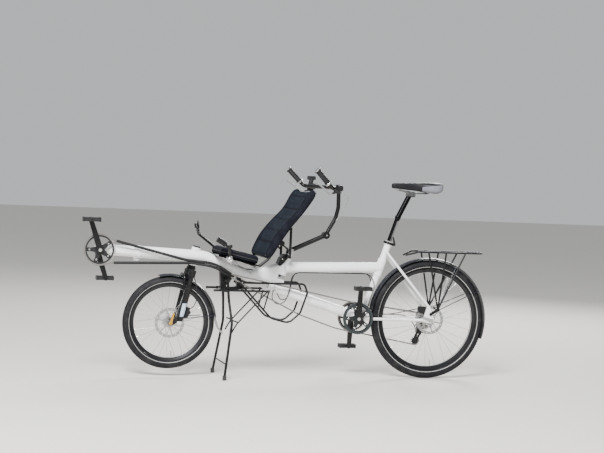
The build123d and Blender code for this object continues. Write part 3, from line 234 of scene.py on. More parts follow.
def paint(names, finish):
    """Gives the same finish to several pieces."""
    for name in names:
        nodes[name].data.materials.clear()
        nodes[name].data.materials.append(finish.material)


white_paint = Finish("white_paint", (0.9, 0.91, 0.92), 0, 0.32, 0.6)
dust = white_paint.noise(9, 5)
white_paint.patch((0.55, 0.53, 0.5), (dust, (0.42, 0.75)), (white_paint.axes()[2], (0.62, 0.3)))
white_paint.mottle(3, 2, 0.35, (0.84, 0.86, 0.89), 0.4, 0.75)
white_paint.rough(dust, 0.24, 0.42).relief(white_paint.noise(420, 2), 0.0003, 0.12)
paint(FRAME_TUBES, white_paint)

# Black fittings: steel tube and plate with a satin powder coat, slightly orange-peeled and scuffed to grey
# where bags and shoes rub. Both racks, the seat's tubes, the stem and the upper fork have it.
BLACK_FITTINGS = (
    "rack_platform",
    "rack_legs",
    "seat_back_frame",
    "seat_back_stays",
    *("low_rack" + side for side in SIDES),
    "stand_bracket",
    "stem",
    "handlebar",
    "steering_rod",
    "upper_fork",
)


def black_coat(name, grey=0.005, smooth=0.25, dull=0.45):
    """A satin black powder coat with scuffs."""
    coat = Finish(name, (grey, grey, grey * 1.08), 0, 0.4, shine=0.3)
    scuffs = coat.noise(38, 8, (1, 1, 2.5))
    coat.tint(coat.between(scuffs, 0.64, 0.74, 0, 0.3), (0.07, 0.07, 0.07))
    return coat.rough(coat.noise(14, 4), smooth, dull).relief(coat.noise(900, 2), 0.0002, 0.15)


black_powder = black_coat("black_powder_coat")
paint(BLACK_FITTINGS, black_powder)

# Stand legs: two steel tubes with the same coat, which fold up on the bracket under the frame. A moulded rubber
# shoe is pushed over the last 26 mm of each leg.
SHOE_TOP = (0.0262, 0.0258)
stand_finish = black_coat("stand_coat")
stand_finish.patch((0.035, 0.034, 0.033), (stand_finish.axes()[2], SHOE_TOP))
paint(("stand_legs",), stand_finish)

# Lower fork: cast magnesium legs in satin black, with a pale stripe down the outside of each. The quick release
# lever on the left end of the axle is gold anodised, and the nuts are plated.
STRIPE_FOOT, STRIPE_HEAD, STRIPE_FACE = (0.328, 0.332), (0.402, 0.398), (0.0722, 0.0735)
LUG_FACE, NUT_TOP = (0.0602, 0.0606), (0.3035, 0.303)
NUT_FACE, LEVER_TOP, LEVER_BACK = (0.0668, 0.067), (0.352, 0.35), (0.630, 0.634)
fork_finish = black_coat("fork_coat", 0.006, 0.22, 0.4)
ahead, left, height, outward = fork_finish.axes()
fork_finish.patch((0.42, 0.52, 0.62), (height, STRIPE_FOOT), (height, STRIPE_HEAD), (outward, STRIPE_FACE))
fork_finish.patch((0.6, 0.6, 0.6), (outward, LUG_FACE), (height, NUT_TOP))
fork_finish.patch((0.4, 0.22, 0.03), (left, NUT_FACE), (height, LEVER_TOP), (ahead, LEVER_BACK))
paint(("lower_fork",), fork_finish)

# Tyres: black rubber with a rounded tread of cut blocks, a plain sidewall and a grey reflecting line on each
# side. Each is one moulding, seated in its rim and turned about the axle.
TYRES = {
    # node prefix: outer radius, half width, radius at the bead, tread blocks round the tyre
    "rear": (0.332, 0.025, 0.2835, 84),
    "front": (0.250, 0.0235, 0.2075, 64),
}
WHEEL_CENTRES = {}
for prefix in TYRES:
    low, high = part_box(prefix + "_tyre")
    WHEEL_CENTRES[prefix] = (Vector(low) + Vector(high)) / 2


def new_piece(name, mesh, body, smooth=True):
    """Puts a finished mesh in the scene, on a body."""
    if smooth:
        mesh.shade_smooth()
    piece = placed(name, mesh)
    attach(piece, body)
    return piece


def ring_mesh(name, rows, steps, place):
    """A mesh from rows of points that each go round a ring, with place(row, step) giving every point."""
    mesh = bpy.data.meshes.new(name)
    points = [place(row, step) for step in range(steps) for row in range(rows)]
    faces = []
    for step in range(steps):
        after = (step + 1) % steps
        for row in range(rows):
            beside = (row + 1) % rows
            corners = ((step, row), (after, row), (after, beside), (step, beside))
            faces.append([around * rows + along for around, along in corners])
    mesh.from_pydata(points, [], faces)
    mesh.update()
    return mesh


CENTRE_EDGE, SHOULDER_EDGE, TREAD_EDGE = 0.22, 0.30, 0.74
CENTRE_CUT, GROOVE, SHOULDER_CUT = 0.0010, 0.0014, 0.0018
CENTRE_SLANT, SHOULDER_SLANT = 0.8, 1.6
CENTRE_GAP, SHOULDER_GAP = 0.2, 0.26


def tread_depth(across, turn, blocks):
    """How deep the tread is cut at a place: two grooves round the tyre and slanted cuts on its shoulders."""
    if CENTRE_EDGE < abs(across) < SHOULDER_EDGE:
        return GROOVE
    if abs(across) <= CENTRE_EDGE:
        return CENTRE_CUT if (turn * blocks * 2 + CENTRE_SLANT * across) % 1 < CENTRE_GAP else 0.0
    slant = (turn * blocks + SHOULDER_SLANT * abs(across) + (0.5 if across > 0 else 0)) % 1
    return SHOULDER_CUT if abs(across) < TREAD_EDGE and slant < SHOULDER_GAP else 0.0


tyre_rubber = Finish("tyre_rubber", (0.008, 0.008, 0.010), 0, 0.75, shine=0.25)
tyre_rubber.mottle(30, 6, 0.5, (0.045, 0.043, 0.04))
tyre_rubber.rough(tyre_rubber.noise(60, 3), 0.6, 0.85).relief(tyre_rubber.noise(1500, 2), 0.0003, 0.3)
reflecting_line = Finish("reflecting_line", (0.42, 0.42, 0.41), 0, 0.4)
reflecting_line.tint(reflecting_line.noise(50, 4), (0.3, 0.3, 0.29))
OUTSIDE_ROWS, INSIDE_ROWS, STEPS_A_BLOCK = 44, 6, 10
INSIDE_LIFT, INSIDE_BOW, INSIDE_WIDTH = 0.002, 0.010, 0.86
LINE_FOOT, LINE_HEAD, LINE_OUT = 0.0088, 0.0120, 0.8
for prefix, (outer, half, bead, blocks) in TYRES.items():
    centre = WHEEL_CENTRES[prefix]
    middle = outer - half
    start = math.asin((bead - middle) / half)
    steps = blocks * STEPS_A_BLOCK

    def tyre_point(row, step):
        """A point of the tyre, from one bead over the tread to the other and back through the inside."""
        turn = step / steps
        if row < OUTSIDE_ROWS:
            share = row / (OUTSIDE_ROWS - 1)
            angle = start + (math.pi - 2 * start) * share
            radius = middle + (half - tread_depth(2 * share - 1, turn, blocks)) * math.sin(angle)
            side = half * math.cos(angle)
        else:
            inner = 1 - 2 * (row - OUTSIDE_ROWS) / (INSIDE_ROWS - 1)
            radius = bead + INSIDE_LIFT + INSIDE_BOW * (1 - inner**2)
            side = -half * math.cos(start) * INSIDE_WIDTH * inner
        spin = 2 * math.pi * turn
        return (centre.x + radius * math.cos(spin), side, centre.z + radius * math.sin(spin))

    tyre_mesh = ring_mesh(prefix + "_tyre_rubber", OUTSIDE_ROWS + INSIDE_ROWS, steps, tyre_point)
    tyre_mesh.materials.append(tyre_rubber.material)
    tyre_mesh.materials.append(reflecting_line.material)
    for face in tyre_mesh.polygons:
        reach = math.hypot(face.center[0] - centre.x, face.center[2] - centre.z)
        if LINE_FOOT < reach - bead < LINE_HEAD and abs(face.center[1]) > LINE_OUT * half:
            face.material_index = 1
    tyre = new_piece(prefix + "_tyre_rubber", tyre_mesh, prefix + "_wheel")
    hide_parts(prefix + "_tyre")

# Rims: extruded aluminium, black anodised, with a painted highlight in light grey along the inner edge towards
# the spokes.
# The spokes are plain steel wire that ends in plated brass nipples, and a valve stands through each rim.
for prefix, rim_highlight_radius in (("rear", 0.2642), ("front", 0.1902)):
    anodised = Finish(prefix + "_anodised_rim", (0.018, 0.018, 0.02), 0.7, 0.35, 0.2)
    reach = anodised.reach(WHEEL_CENTRES[prefix])
    # Painted highlight: a light grey band on the rim's inner edge, inside the highlight radius.
    anodised.patch((0.5, 0.5, 0.5), (reach, (rim_highlight_radius + 0.0004, rim_highlight_radius)))
    anodised.rough(anodised.noise(120, 3), 0.28, 0.42).relief(anodised.noise(700, 2), 0.0001, 0.15)
    paint((prefix + "_rim",), anodised)


def skin(made, rings, capped=True):
    """Joins rings of vertices, one to the next, and closes the first and the last with a flat face."""
    for lower, upper in zip(rings, rings[1:]):
        for number in range(len(lower)):
            after = (number + 1) % len(lower)
            made.faces.new((lower[number], lower[after], upper[after], upper[number]))
    if capped:
        made.faces.new(list(reversed(rings[0])))
        made.faces.new(rings[-1])


def mesh_of(made, name, *finishes):
    """A finished mesh from a bmesh, which is freed."""
    mesh = bpy.data.meshes.new(name)
    made.to_mesh(mesh)
    made.free()
    for finish in finishes:
        mesh.materials.append(finish.material)
    return mesh


def turned_mesh(made, profile, place, axis, sides=20):
    """Adds a turned part to a bmesh: (radius, height) steps about an axis that starts at a place.

    A profile that ends where it began makes a ring, and any other is closed with a flat face at each end.
    """
    ring_shaped = profile[0] == profile[-1]
    spin = Vector((0, 0, 1)).rotation_difference(Vector(axis)).to_matrix()
    rings = []
    for radius, height in profile[:-1] if ring_shaped else profile:
        ring = []
        for side in range(sides):
            angle = 2 * math.pi * (side + 0.5) / sides
            local = Vector((radius * math.cos(angle), radius * math.sin(angle), height))
            ring.append(made.verts.new(Vector(place) + spin @ local))
        rings.append(ring)
    if ring_shaped:
        rings.append(rings[0])
    skin(made, rings, not ring_shaped)


def turned_piece(name, parts, body, finish, smooth=False):
    """One piece from many turned parts, each given as (profile, place, axis, sides)."""
    made = bmesh.new()
    for profile, place, axis, sides in parts:
        turned_mesh(made, profile, place, axis, sides)
    return new_piece(name, mesh_of(made, name, finish), body, smooth)


def bare_metal(name, colour, roughness=(0.22, 0.38), grain=(1, 1, 1)):
    """Plated or polished metal, with fine marks drawn out along the grain."""
    metal = Finish(name, colour, 1.0, 0.3)
    marks = metal.noise(260, 4, grain)
    metal.mottle(22, 5, 0.5, tuple(0.7 * part for part in colour))
    return metal.rough(marks, *roughness).relief(marks, 0.00008, 0.2)


plated_brass = bare_metal("plated_brass", (0.62, 0.61, 0.58))
NIPPLE = ((0.0018, 0), (0.0018, 0.009), (0.0013, 0.010), (0.0013, 0.013))
VALVE = ((0.003, 0), (0.003, 0.016), (0.004, 0.017), (0.004, 0.034), (0.0025, 0.036))
SPOKES = 28
VALVE_TURN = 20.5 / SPOKES


def towards_rim(turn):
    """The way from an axle to its rim, after a share of a whole turn."""
    return Vector((math.cos(2 * math.pi * turn), 0, math.sin(2 * math.pi * turn)))


for prefix, rim_inner in (("rear", 0.263), ("front", 0.189)):
    centre = WHEEL_CENTRES[prefix]
    parts = []
    for number in range(SPOKES):
        outward = towards_rim(number / SPOKES)
        parts.append((NIPPLE, centre + outward * (rim_inner + 0.001), -outward, 6))
    outward = towards_rim(VALVE_TURN)
    parts.append((VALVE, centre + outward * (rim_inner + 0.002), -outward, 12))
    turned_piece(prefix + "_nipples", parts, prefix + "_wheel", plated_brass)

# Hubs and discs: turned aluminium hubs with steel spokes, and steel discs with their brushed braking band. The
# cassette's sprockets are stamped steel, oiled and dusty.
hub_metal = bare_metal("hub_metal", (0.6, 0.6, 0.61))
disc_steel = bare_metal("disc_steel", (0.4, 0.4, 0.41), (0.22, 0.4))
oiled_steel = bare_metal("oiled_steel", (0.3, 0.285, 0.26), (0.3, 0.5))
paint(("front_hub", "rear_hub", "rear_axle"), hub_metal)
paint(("front_rotor", "rear_rotor"), disc_steel)
paint(("cassette",), oiled_steel)

# Cranks and rings: black anodised forged cranks with polished axle ends, rings with black arms and worn steel
# teeth. The guard on the rear rider's left ring is grey, and the bolts are plated.
crank_black = black_coat("crank_anodising", 0.006, 0.2, 0.36)
paint(("front_cranks", "rear_cranks"), crank_black)
RING_CENTRES = {"front": spot(1864, 0, 674.722), "rear": spot(424, 0, 334)}
TOOTH_ROOT = (0.0761, 0.0769)
GUARD_FACE = (0.0573, 0.0575)
for prefix, node in (("front", "front_chainring"), ("rear", "rear_chainrings")):
    ring_finish = Finish(prefix + "_ring_metal", (0.02, 0.02, 0.022), 0.5, 0.35)
    reach = ring_finish.reach(RING_CENTRES[prefix])
    ring_finish.patch((0.3, 0.29, 0.27), (reach, TOOTH_ROOT))
    if prefix == "rear":
        ring_finish.patch((0.034, 0.042, 0.045), (ring_finish.axes()[1], GUARD_FACE))
    ring_finish.rough(ring_finish.noise(140, 4), 0.28, 0.5).relief(ring_finish.noise(500, 2), 0.0001, 0.2)
    paint((node,), ring_finish)
bolt_steel = bare_metal("bolt_steel", (0.66, 0.66, 0.66), (0.18, 0.3))
RING_BOLT = (
    (0.0046, 0), (0.0048, 0.0008), (0.0048, 0.0024), (0.0040, 0.0030), (0.0024, 0.0030), (0.0024, 0.0012)
)
CRANK_CAP = ((0.0095, 0), (0.0100, 0.001), (0.0092, 0.0026), (0.0050, 0.0030))
BOLT_CIRCLE, BOLT_FACE, CRANK_FACE = 0.055, 0.0590, 0.079
ARMS = 5
for prefix, ring_sides in (("front", (1,)), ("rear", (1, -1))):
    centre = RING_CENTRES[prefix]
    parts = []
    for side in ring_sides:
        outward = Vector((0, side, 0))
        for number in range(ARMS):
            place = centre + towards_rim(number / ARMS) * BOLT_CIRCLE + outward * BOLT_FACE
            parts.append((RING_BOLT, place, outward, 16))
    for side in (1, -1):
        outward = Vector((0, side, 0))
        parts.append((CRANK_CAP, centre + outward * CRANK_FACE, outward, 24))
    turned_piece(prefix + "_ring_bolts", parts, prefix + "_crankset", bolt_steel)

# Pedals: cast cages with steel pins, which turn on spindles screwed to the cranks. The front pair is dark grey
# aluminium, and the rear pair is black plastic.
pedal_alloy = bare_metal("pedal_alloy", (0.06, 0.06, 0.063), (0.25, 0.45))
pedal_plastic = black_coat("pedal_plastic", 0.01, 0.4, 0.6)
paint(["front_pedal" + side for side in SIDES], pedal_alloy)
paint(["rear_pedal" + side for side in SIDES], pedal_plastic)

# Chains: half-inch roller chain, bare steel plates that have gone grey with oil. The timing chain joins the two
# riders' left rings, and the drive chain goes back on the right past the two pulleys.
PITCH = 0.0127
CHAIN_Y = 0.052
PLATE_END, PLATE_HALF_HEIGHT, PLATE_THICKNESS = 0.0039, 0.0040, 0.0008
INNER_PLATE, OUTER_PLATE = 0.0021, 0.0029
ROLLER_RADIUS, ROLLER_HALF = 0.0036, 0.0018
PIN_RADIUS, PIN_HALF = 0.0015, 0.00345
ARC_STEP, BEND_STEPS = 0.12, 8
chain_steel = bare_metal("chain_steel", (0.26, 0.25, 0.24), (0.3, 0.5))


def heading(angle):
    """A direction in the chain's plane."""
    return Vector((math.cos(angle), math.sin(angle)))


def wrap(centre, radius, first, last, side=1):
    """Points round a chain wheel from one angle to another, counter-clockwise where the side is 1."""
    span = (last - first) % (2 * math.pi) if side > 0 else -((first - last) % (2 * math.pi))
    count = max(2, int(abs(span) / ARC_STEP))
    route = []
    for step in range(count + 1):
        route.append(Vector(centre) + radius * heading(first + span * step / count))
    return route


def wheel_angle(first, second, first_side, second_side):
    """The angle at which a chain leaves one wheel (x, z, radius) and meets the next, crossed or open."""
    run = Vector((second[0] - first[0], second[1] - first[1]))
    lean = math.asin((first_side * first[2] - second_side * second[2]) / run.length)
    return math.atan2(run.y, run.x) + lean - math.pi / 2


def rounded(points, bends):
    """The points with each corner taken round a curve as wide as its bend needs."""
    route = []
    for before, here, after, bend in zip(points, points[1:], points[2:], bends):
        back, ahead = (before - here).normalized(), (after - here).normalized()
        reach = bend * math.tan((math.pi - back.angle(ahead)) / 2)
        for step in range(BEND_STEPS + 1):
            share = step / BEND_STEPS
            pull = 2 * share * (1 - share)
            ends = (here + back * reach) * (1 - share) ** 2 + (here + ahead * reach) * share**2
            route.append(ends + here * pull)
    return route


def chain_mesh(name, route, y):
    """A closed roller chain along a route of (x, z) points: rollers between inner and outer plates."""
    route = route + [route[0]]
    runs = [(after - before).length for before, after in zip(route, route[1:])]
    count = 2 * round(sum(runs) / PITCH / 2)
    step = sum(runs) / count
    pins, run, used = [], 0, 0.0
    for number in range(count):
        while used + runs[run] < number * step:
            used += runs[run]
            run += 1
        share = (number * step - used) / runs[run]
        pins.append(route[run].lerp(route[run + 1], share))
    made = bmesh.new()
    plate = []
    for corner in range(10):
        angle = math.radians(-72 + 36 * corner if corner < 5 else 108 + 36 * (corner - 5))
        along = math.cos(angle) * PLATE_END + (step if corner < 5 else 0)
        plate.append((along, math.sin(angle) * PLATE_HALF_HEIGHT))
    for number, pin in enumerate(pins):
        ahead = (pins[(number + 1) % count] - pin).normalized()
        offset = OUTER_PLATE if number % 2 else INNER_PLATE
        for side in (-1, 1):
            layers = []
            for face in (-1, 1):
                layer = []
                for along, above in plate:
                    x = pin.x + ahead.x * along - ahead.y * above
                    z = pin.y + ahead.y * along + ahead.x * above
                    layer.append(made.verts.new((x, y + side * offset + face * PLATE_THICKNESS / 2, z)))
                layers.append(layer)
            skin(made, layers)
        for radius, half, sides in ((ROLLER_RADIUS, ROLLER_HALF, 10), (PIN_RADIUS, PIN_HALF, 8)):
            turned_mesh(made, ((radius, 0), (radius, 2 * half)), (pin.x, y - half, pin.y), (0, 1, 0), sides)
    bmesh.ops.recalc_face_normals(made, faces=made.faces)
    return mesh_of(made, name, chain_steel)


def flat_spot(x, z):
    """A point (x, z) in metres from millimetres ahead of the rear axle and above the floor."""
    place = spot(x, 0, z)
    return Vector((place.x, place.z))


RING = 0.080936
front_ring = (*flat_spot(1864, 674.722), RING)
rear_ring = (*flat_spot(424, 334), RING)
UPPER_RUN = ((1776, 723, 0), (1400, 632, 0.3), (1240, 618, 0.22), (1150, 562, 0.1))
SAG = ((560, 281, 0.3), (760, 350, 0.3), (1060, 498, 0.1))
LOWER_RUN = ((1150, 546, 0.1), (1240, 600, 0.22), (1368, 617, 0.3), (1788, 607, 0))


def run_between(first_wheel, table, last_wheel):
    """A chain's run from one wheel over the table's corners to the next, and its angles on the two wheels."""
    corners = [flat_spot(x, z) for x, z, bend in table]
    leave = wheel_angle(first_wheel, (*corners[0], 0), 1, 1)
    meet = wheel_angle((*corners[-1], 0), last_wheel, 1, 1)
    start = Vector(first_wheel[:2]) + first_wheel[2] * heading(leave)
    finish = Vector(last_wheel[:2]) + last_wheel[2] * heading(meet)
    return leave, rounded([start, *corners, finish], [bend for x, z, bend in table]), meet


top_leave, top_run, top_meet = run_between(front_ring, UPPER_RUN, rear_ring)
low_leave, low_run, low_meet = run_between(rear_ring, SAG + LOWER_RUN, front_ring)
timing_route = wrap(front_ring[:2], RING, low_meet, top_leave) + top_run
timing_route += wrap(rear_ring[:2], RING, top_meet, low_leave) + low_run
timing_mesh = chain_mesh("timing_chain_links", timing_route, CHAIN_Y)
timing_chain = new_piece("timing_chain_links", timing_mesh, "frame", smooth=False)
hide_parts("timing_chain")

COG_RADIUS, GUIDE_RADIUS = 0.026535, 0.022538
drive_wheels = (
    (*rear_ring, 1),
    (*flat_spot(0, 332), COG_RADIUS, 1),
    (*flat_spot(22, 262), GUIDE_RADIUS, -1),
    (*flat_spot(48, 204), GUIDE_RADIUS, 1),
)
drive_route = []
for number, wheel in enumerate(drive_wheels):
    before = drive_wheels[number - 1]
    after = drive_wheels[(number + 1) % len(drive_wheels)]
    side = wheel[3]
    meet = wheel_angle(before[:3], wheel[:3], before[3], side)
    leave = wheel_angle(wheel[:3], after[:3], side, after[3])
    turned = 0 if side > 0 else math.pi
    drive_route += wrap(wheel[:2], wheel[2], meet + turned, leave + turned, side)
drive_mesh = chain_mesh("drive_chain_links", drive_route, -CHAIN_Y)
drive_chain = new_piece("drive_chain_links", drive_mesh, "frame", smooth=False)
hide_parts("drive_chain")

# Plastic parts: the chain's guide tubes, drawn nylon, and the derailleur and calipers with their cables, which
# are black with an even moulded grain.
moulded_black = Finish("moulded_black", (0.009, 0.009, 0.01), 0, 0.5, shine=0.3)
moulded_black.mottle(25, 5, 0.4, (0.04, 0.04, 0.04))
moulded_black.rough(moulded_black.noise(90, 3), 0.35, 0.6).relief(moulded_black.noise(1200, 2), 0.0002, 0.2)
paint(("chain_tubes", "rear_derailleur", "rear_caliper", "front_caliper"), moulded_black)

# Mudguards: extruded plastic bands in glossy blue-black, with thin steel stays and a grey rubber flap at the
# foot of the front one. Road dust dulls their lower ends.
FLAP_TOP, FLAP_BACK = (0.3222, 0.3216), (0.3, 0.31)
guard_plastic = Finish("guard_plastic", (0.005, 0.006, 0.011), 0, 0.22, 0.2)
guard_plastic.mottle(16, 6, 0.35, (0.05, 0.05, 0.052), high=0.85)
ahead, left, height, outward = guard_plastic.axes()
guard_plastic.patch((0.16, 0.165, 0.17), (height, FLAP_TOP), (ahead, FLAP_BACK))
guard_plastic.rough(guard_plastic.noise(30, 4), 0.18, 0.42).relief(guard_plastic.noise(300, 2), 0.0002, 0.12)
paint(("front_fender", "rear_fender"), guard_plastic)

# Steering column and seatpost: the column is turned aluminium, bare and satin, with its screw in the top. The
# post is bare below with a black strip down its front, and black above its joint up to the bare saddle clamp.
column_alloy = bare_metal("column_alloy", (0.42, 0.42, 0.43), (0.2, 0.36), (1, 1, 4))
paint(("steering_column",), column_alloy)
post_finish = Finish("post_finish", (0.3, 0.3, 0.31), 1.0, 0.28)
POST_JOINT, POST_HEAD, POST_FRONT = (0.878, 0.8785), (1.0185, 1.019), (-0.3115, -0.3110)
POST_LEAN = 0.3327
post_black = (0.01, 0.01, 0.011)
ahead, left, height, outward = post_finish.axes()
before_post = post_finish.math("ADD", ahead, post_finish.math("MULTIPLY", height, POST_LEAN))
post_finish.patch(post_black, (height, POST_JOINT)).patch(post_black, (before_post, POST_FRONT))
post_finish.patch((0.2, 0.2, 0.21), (height, POST_HEAD))
post_finish.rough(post_finish.noise(60, 4, (1, 1, 3)), 0.2, 0.4)
post_finish.relief(post_finish.noise(700, 2), 0.0001, 0.12)
paint(("seatpost",), post_finish)

# Seatpost clamp: a black aluminium ring that draws the slit top of the seat tube round the post. Its cross bolt
# has a quick release lever.
POST_RING = (
    (0.0243, 0), (0.0280, 0), (0.0286, 0.002), (0.0286, 0.012), (0.0280, 0.014), (0.0243, 0.014), (0.0243, 0)
)
CLAMP_BOLT = ((0.0042, 0), (0.0042, 0.034), (0.0030, 0.036))
POST_LEVER = ((0.0035, 0), (0.0055, 0.004), (0.0050, 0.026), (0.0034, 0.048), (0.0018, 0.051))
POST_UP = Vector((-0.3157, 0, 0.9489))
post_clamp = [
    (POST_RING, spot(250, 0, 745) + POST_UP * 0.001, POST_UP, 32),
    (CLAMP_BOLT, spot(217, -17, 742), (0, 1, 0), 12),
    (POST_LEVER, spot(217, 20, 742), (0.25, 0.1, 0.96), 12),
]
turned_piece("seatpost_clamp", post_clamp, "frame", black_powder)

# Screws: socket-head steel screws at the boom's clamp, the stem's joint and the seat's mount, set where the two
# halves of each clamp are drawn together.
SCREW = (
    (0.0042, 0), (0.0045, 0.0005), (0.0045, 0.0040), (0.0040, 0.0045), (0.0026, 0.0045), (0.0026, 0.0020)
)
FRAME_PAIRS = ((1651, 9, 624.3), (1667, 9, 624.3), (1150, 34, 618), (862, 30, 650))
BAR_PAIRS = ((614, 24, 786), (550, 22, 1062))


def screw_pairs(spots):
    """A screw at each spot (x, y, z) and its twin on the other side, with their heads outward."""
    return [(SCREW, spot(x, side * y, z), (0, side, 0), 16) for x, y, z in spots for side in (1, -1)]


frame_screws = screw_pairs(FRAME_PAIRS)
frame_screws += [(SCREW, spot(x, 26.5, z), (0, 1, 0), 16) for x, z in ((900, 496), (897, 478))]
turned_piece("frame_screws", frame_screws, "frame", bolt_steel)
CAP_PLACE, CAP_UP = spot(809.6, 0, 708.1), (-0.267, 0, 0.964)
bar_screws = [(SCREW, CAP_PLACE, CAP_UP, 16), *screw_pairs(BAR_PAIRS)]
turned_piece("handlebar_screws", bar_screws, "handlebars", bolt_steel)

# Rail ends: moulded rubber caps that close the four bare tube ends of the low rack. Each is pushed over its
# tube and has a domed end.
CAP = ((0.0066, -0.010), (0.0072, -0.009), (0.0072, 0.001), (0.0062, 0.0028), (0.003, 0.0034))
rail_caps = []
for x, ahead in ((1250, 1), (944, -1)):
    rail_caps += [(CAP, spot(x, side * 102, 477), (ahead, 0, 0), 20) for side in (1, -1)]
soft_rubber = Finish("soft_rubber", (0.022, 0.021, 0.021), 0, 0.7)
soft_rubber.mottle(60, 4, 0.4, (0.06, 0.058, 0.055))
soft_rubber.rough(soft_rubber.noise(80, 3), 0.55, 0.8).relief(soft_rubber.noise(1400, 2), 0.0002, 0.3)
turned_piece("rail_end_caps", rail_caps, "frame", soft_rubber, smooth=True)

# Seat mount: a pressed pan with a black coat on a welded post, and through the post a bare cross bar whose
# round ends carry the side handles.
PAN_SLOPE, PAN_UNDER, PAN_EDGE = 0.2261, (0.5635, 0.564), (0.137, 0.136)
mount_finish = Finish("mount_finish", (0.4, 0.4, 0.41), 1.0, 0.25)
ahead, left, height, outward = mount_finish.axes()
mount_finish.patch((0.008, 0.008, 0.009), (mount_finish.above(PAN_SLOPE), PAN_UNDER), (outward, PAN_EDGE))
mount_finish.rough(mount_finish.noise(140, 4), 0.16, 0.36).relief(mount_finish.noise(500, 2), 0.0001, 0.15)
paint(("seat_mount",), mount_finish)

# Side handles: bent steel tube with a black coat, clamped to the seat mount's cross bar. A ribbed rubber sleeve
# covers the top end of each.
SLEEVE_FOOT, SLEEVE_RIBS = (0.742, 0.745), 1500
handle_finish = black_coat("handle_coat", 0.005, 0.12, 0.26)
height = handle_finish.axes()[2]
ribs = handle_finish.math("SINE", handle_finish.math("MULTIPLY", height, SLEEVE_RIBS))
on_sleeve = handle_finish.between(height, *SLEEVE_FOOT)
handle_finish.relief(handle_finish.math("MULTIPLY", ribs, on_sleeve), 0.0006, 0.6)
paint(["handle" + side for side in SIDES], handle_finish)

# Handle knobs: polished aluminium domes on the ends of the seat mount's cross bar. A hand turns them to clamp
# the side handles.
KNOB = (
    (0.0180, 0),
    (0.0190, 0.001),
    (0.0190, 0.005),
    (0.0170, 0.012),
    (0.0125, 0.017),
    (0.0065, 0.0195),
    (0.0050, 0.0185),
)
knobs = [(KNOB, spot(1186, side * 163, 648), (0, side, 0), 28) for side in (1, -1)]
turned_piece("handle_knobs", knobs, "frame", bolt_steel)

# Grips and controls: rubber grips with fine ribs round them, alloy levers, and black perches that clamp to the
# bar. The brake's grey cable leaves the left perch in a bow behind the stem.
LEVER_SLOPE, LEVER_UNDER, LEVER_INSIDE = 1.011, (1.1637, 1.1632), (0.271, 0.272)
GRIP_UNDER, GRIP_RIBS = (1.169, 1.171), 1100
CABLE_FRONT = (-0.2065, -0.2072)
grip_finish = Finish("grip_finish", (0.009, 0.009, 0.010), 0, 0.6, shine=0.3)
ahead, left, height, outward = grip_finish.axes()
over_lever = grip_finish.above(LEVER_SLOPE)
grip_finish.patch((0.2, 0.2, 0.205), (over_lever, LEVER_UNDER), (outward, LEVER_INSIDE))
grip_finish.patch((0.33, 0.33, 0.33), (ahead, CABLE_FRONT))
ribs = grip_finish.math("SINE", grip_finish.math("MULTIPLY", height, GRIP_RIBS))
on_grip = grip_finish.between(over_lever, *GRIP_UNDER)
grip_finish.relief(grip_finish.math("MULTIPLY", ribs, on_grip), 0.0008, 0.6)
grip_finish.rough(grip_finish.noise(70, 3), 0.4, 0.7)
paint(["grip" + side for side in SIDES], grip_finish)

# Grip ends: a polished plug closes the top end of each grip, and a polished ring clamps its lower end. Both are
# turned aluminium, set on the bar's own line.
BAR_BEND, BAR_TIP = (671, 285, 1050), (762, 300, 1142)
PLUG = ((0.0150, -0.001), (0.0172, 0), (0.0172, 0.003), (0.0145, 0.0052), (0.0060, 0.0058))
COLLAR = (
    (0.0112, 0), (0.0176, 0), (0.0184, 0.001), (0.0184, 0.008), (0.0176, 0.009), (0.0112, 0.009), (0.0112, 0)
)
COLLAR_SHARE, COLLAR_BACK = 0.3, 0.0095
grip_ends = []
for side in (1, -1):
    bend, tip = (spot(x, side * y, z) for x, y, z in (BAR_BEND, BAR_TIP))
    outward = (tip - bend).normalized()
    grip_ends.append((PLUG, tip, outward, 24))
    grip_ends.append((COLLAR, bend.lerp(tip, COLLAR_SHARE) - outward * COLLAR_BACK, outward, 24))
turned_piece("grip_ends", grip_ends, "handlebars", bolt_steel)

# Seat cloths: woven nylon, black with a slight blue cast, close for the foam's covers and open for the panel of
# the seat back. They are paler in patches, where riders sit and the sun bleaches them.
CLOSE_WEAVE, OPEN_WEAVE = 0.0016, 0.0032


def woven_cloth(name, colour, pale, pitch):
    """Woven cloth, with threads both ways at a pitch in metres."""
    cloth = Finish(name, colour, 0, 0.85, shine=0.12)
    cloth.mottle(26, 5, 0.6, pale, 0.4)
    wave = {"Vector": cloth.place, "Scale": 0.32 / pitch, "Distortion": 0.4}
    threads = [cloth.add("TexWave", bands_direction=way, **wave).outputs["Fac"] for way in "XZY"]
    weave = cloth.math("MULTIPLY", cloth.math("ADD", *threads[:2]), threads[2])
    cloth.rough(cloth.noise(80, 3), 0.75, 0.95).relief(weave, pitch * 0.25, 0.5)
    cloth.relief(cloth.noise(18, 4), 0.004, 0.25)
    return cloth


cover_cloth = woven_cloth("cover_cloth", (0.004, 0.0042, 0.008), (0.012, 0.013, 0.02), CLOSE_WEAVE)
mesh_cloth = woven_cloth("mesh_cloth", (0.007, 0.010, 0.016), (0.018, 0.024, 0.034), OPEN_WEAVE)

# Seat cushion: a foam pad in a sewn cover that lies on the pan, thicker and rounder at its front edge, with
# piping round its waist.
PRESSURE, LAST_FRAME = 4, 16
GRID_CUTS, SEAM_SECTORS, SIDE_PULL = 11, 96, 0.2


def applied(piece):
    """Turns a piece's modifiers, as they stand in this frame, into its own mesh."""
    evaluated = piece.evaluated_get(bpy.context.evaluated_depsgraph_get())
    piece.data = bpy.data.meshes.new_from_object(evaluated)
    piece.modifiers.clear()


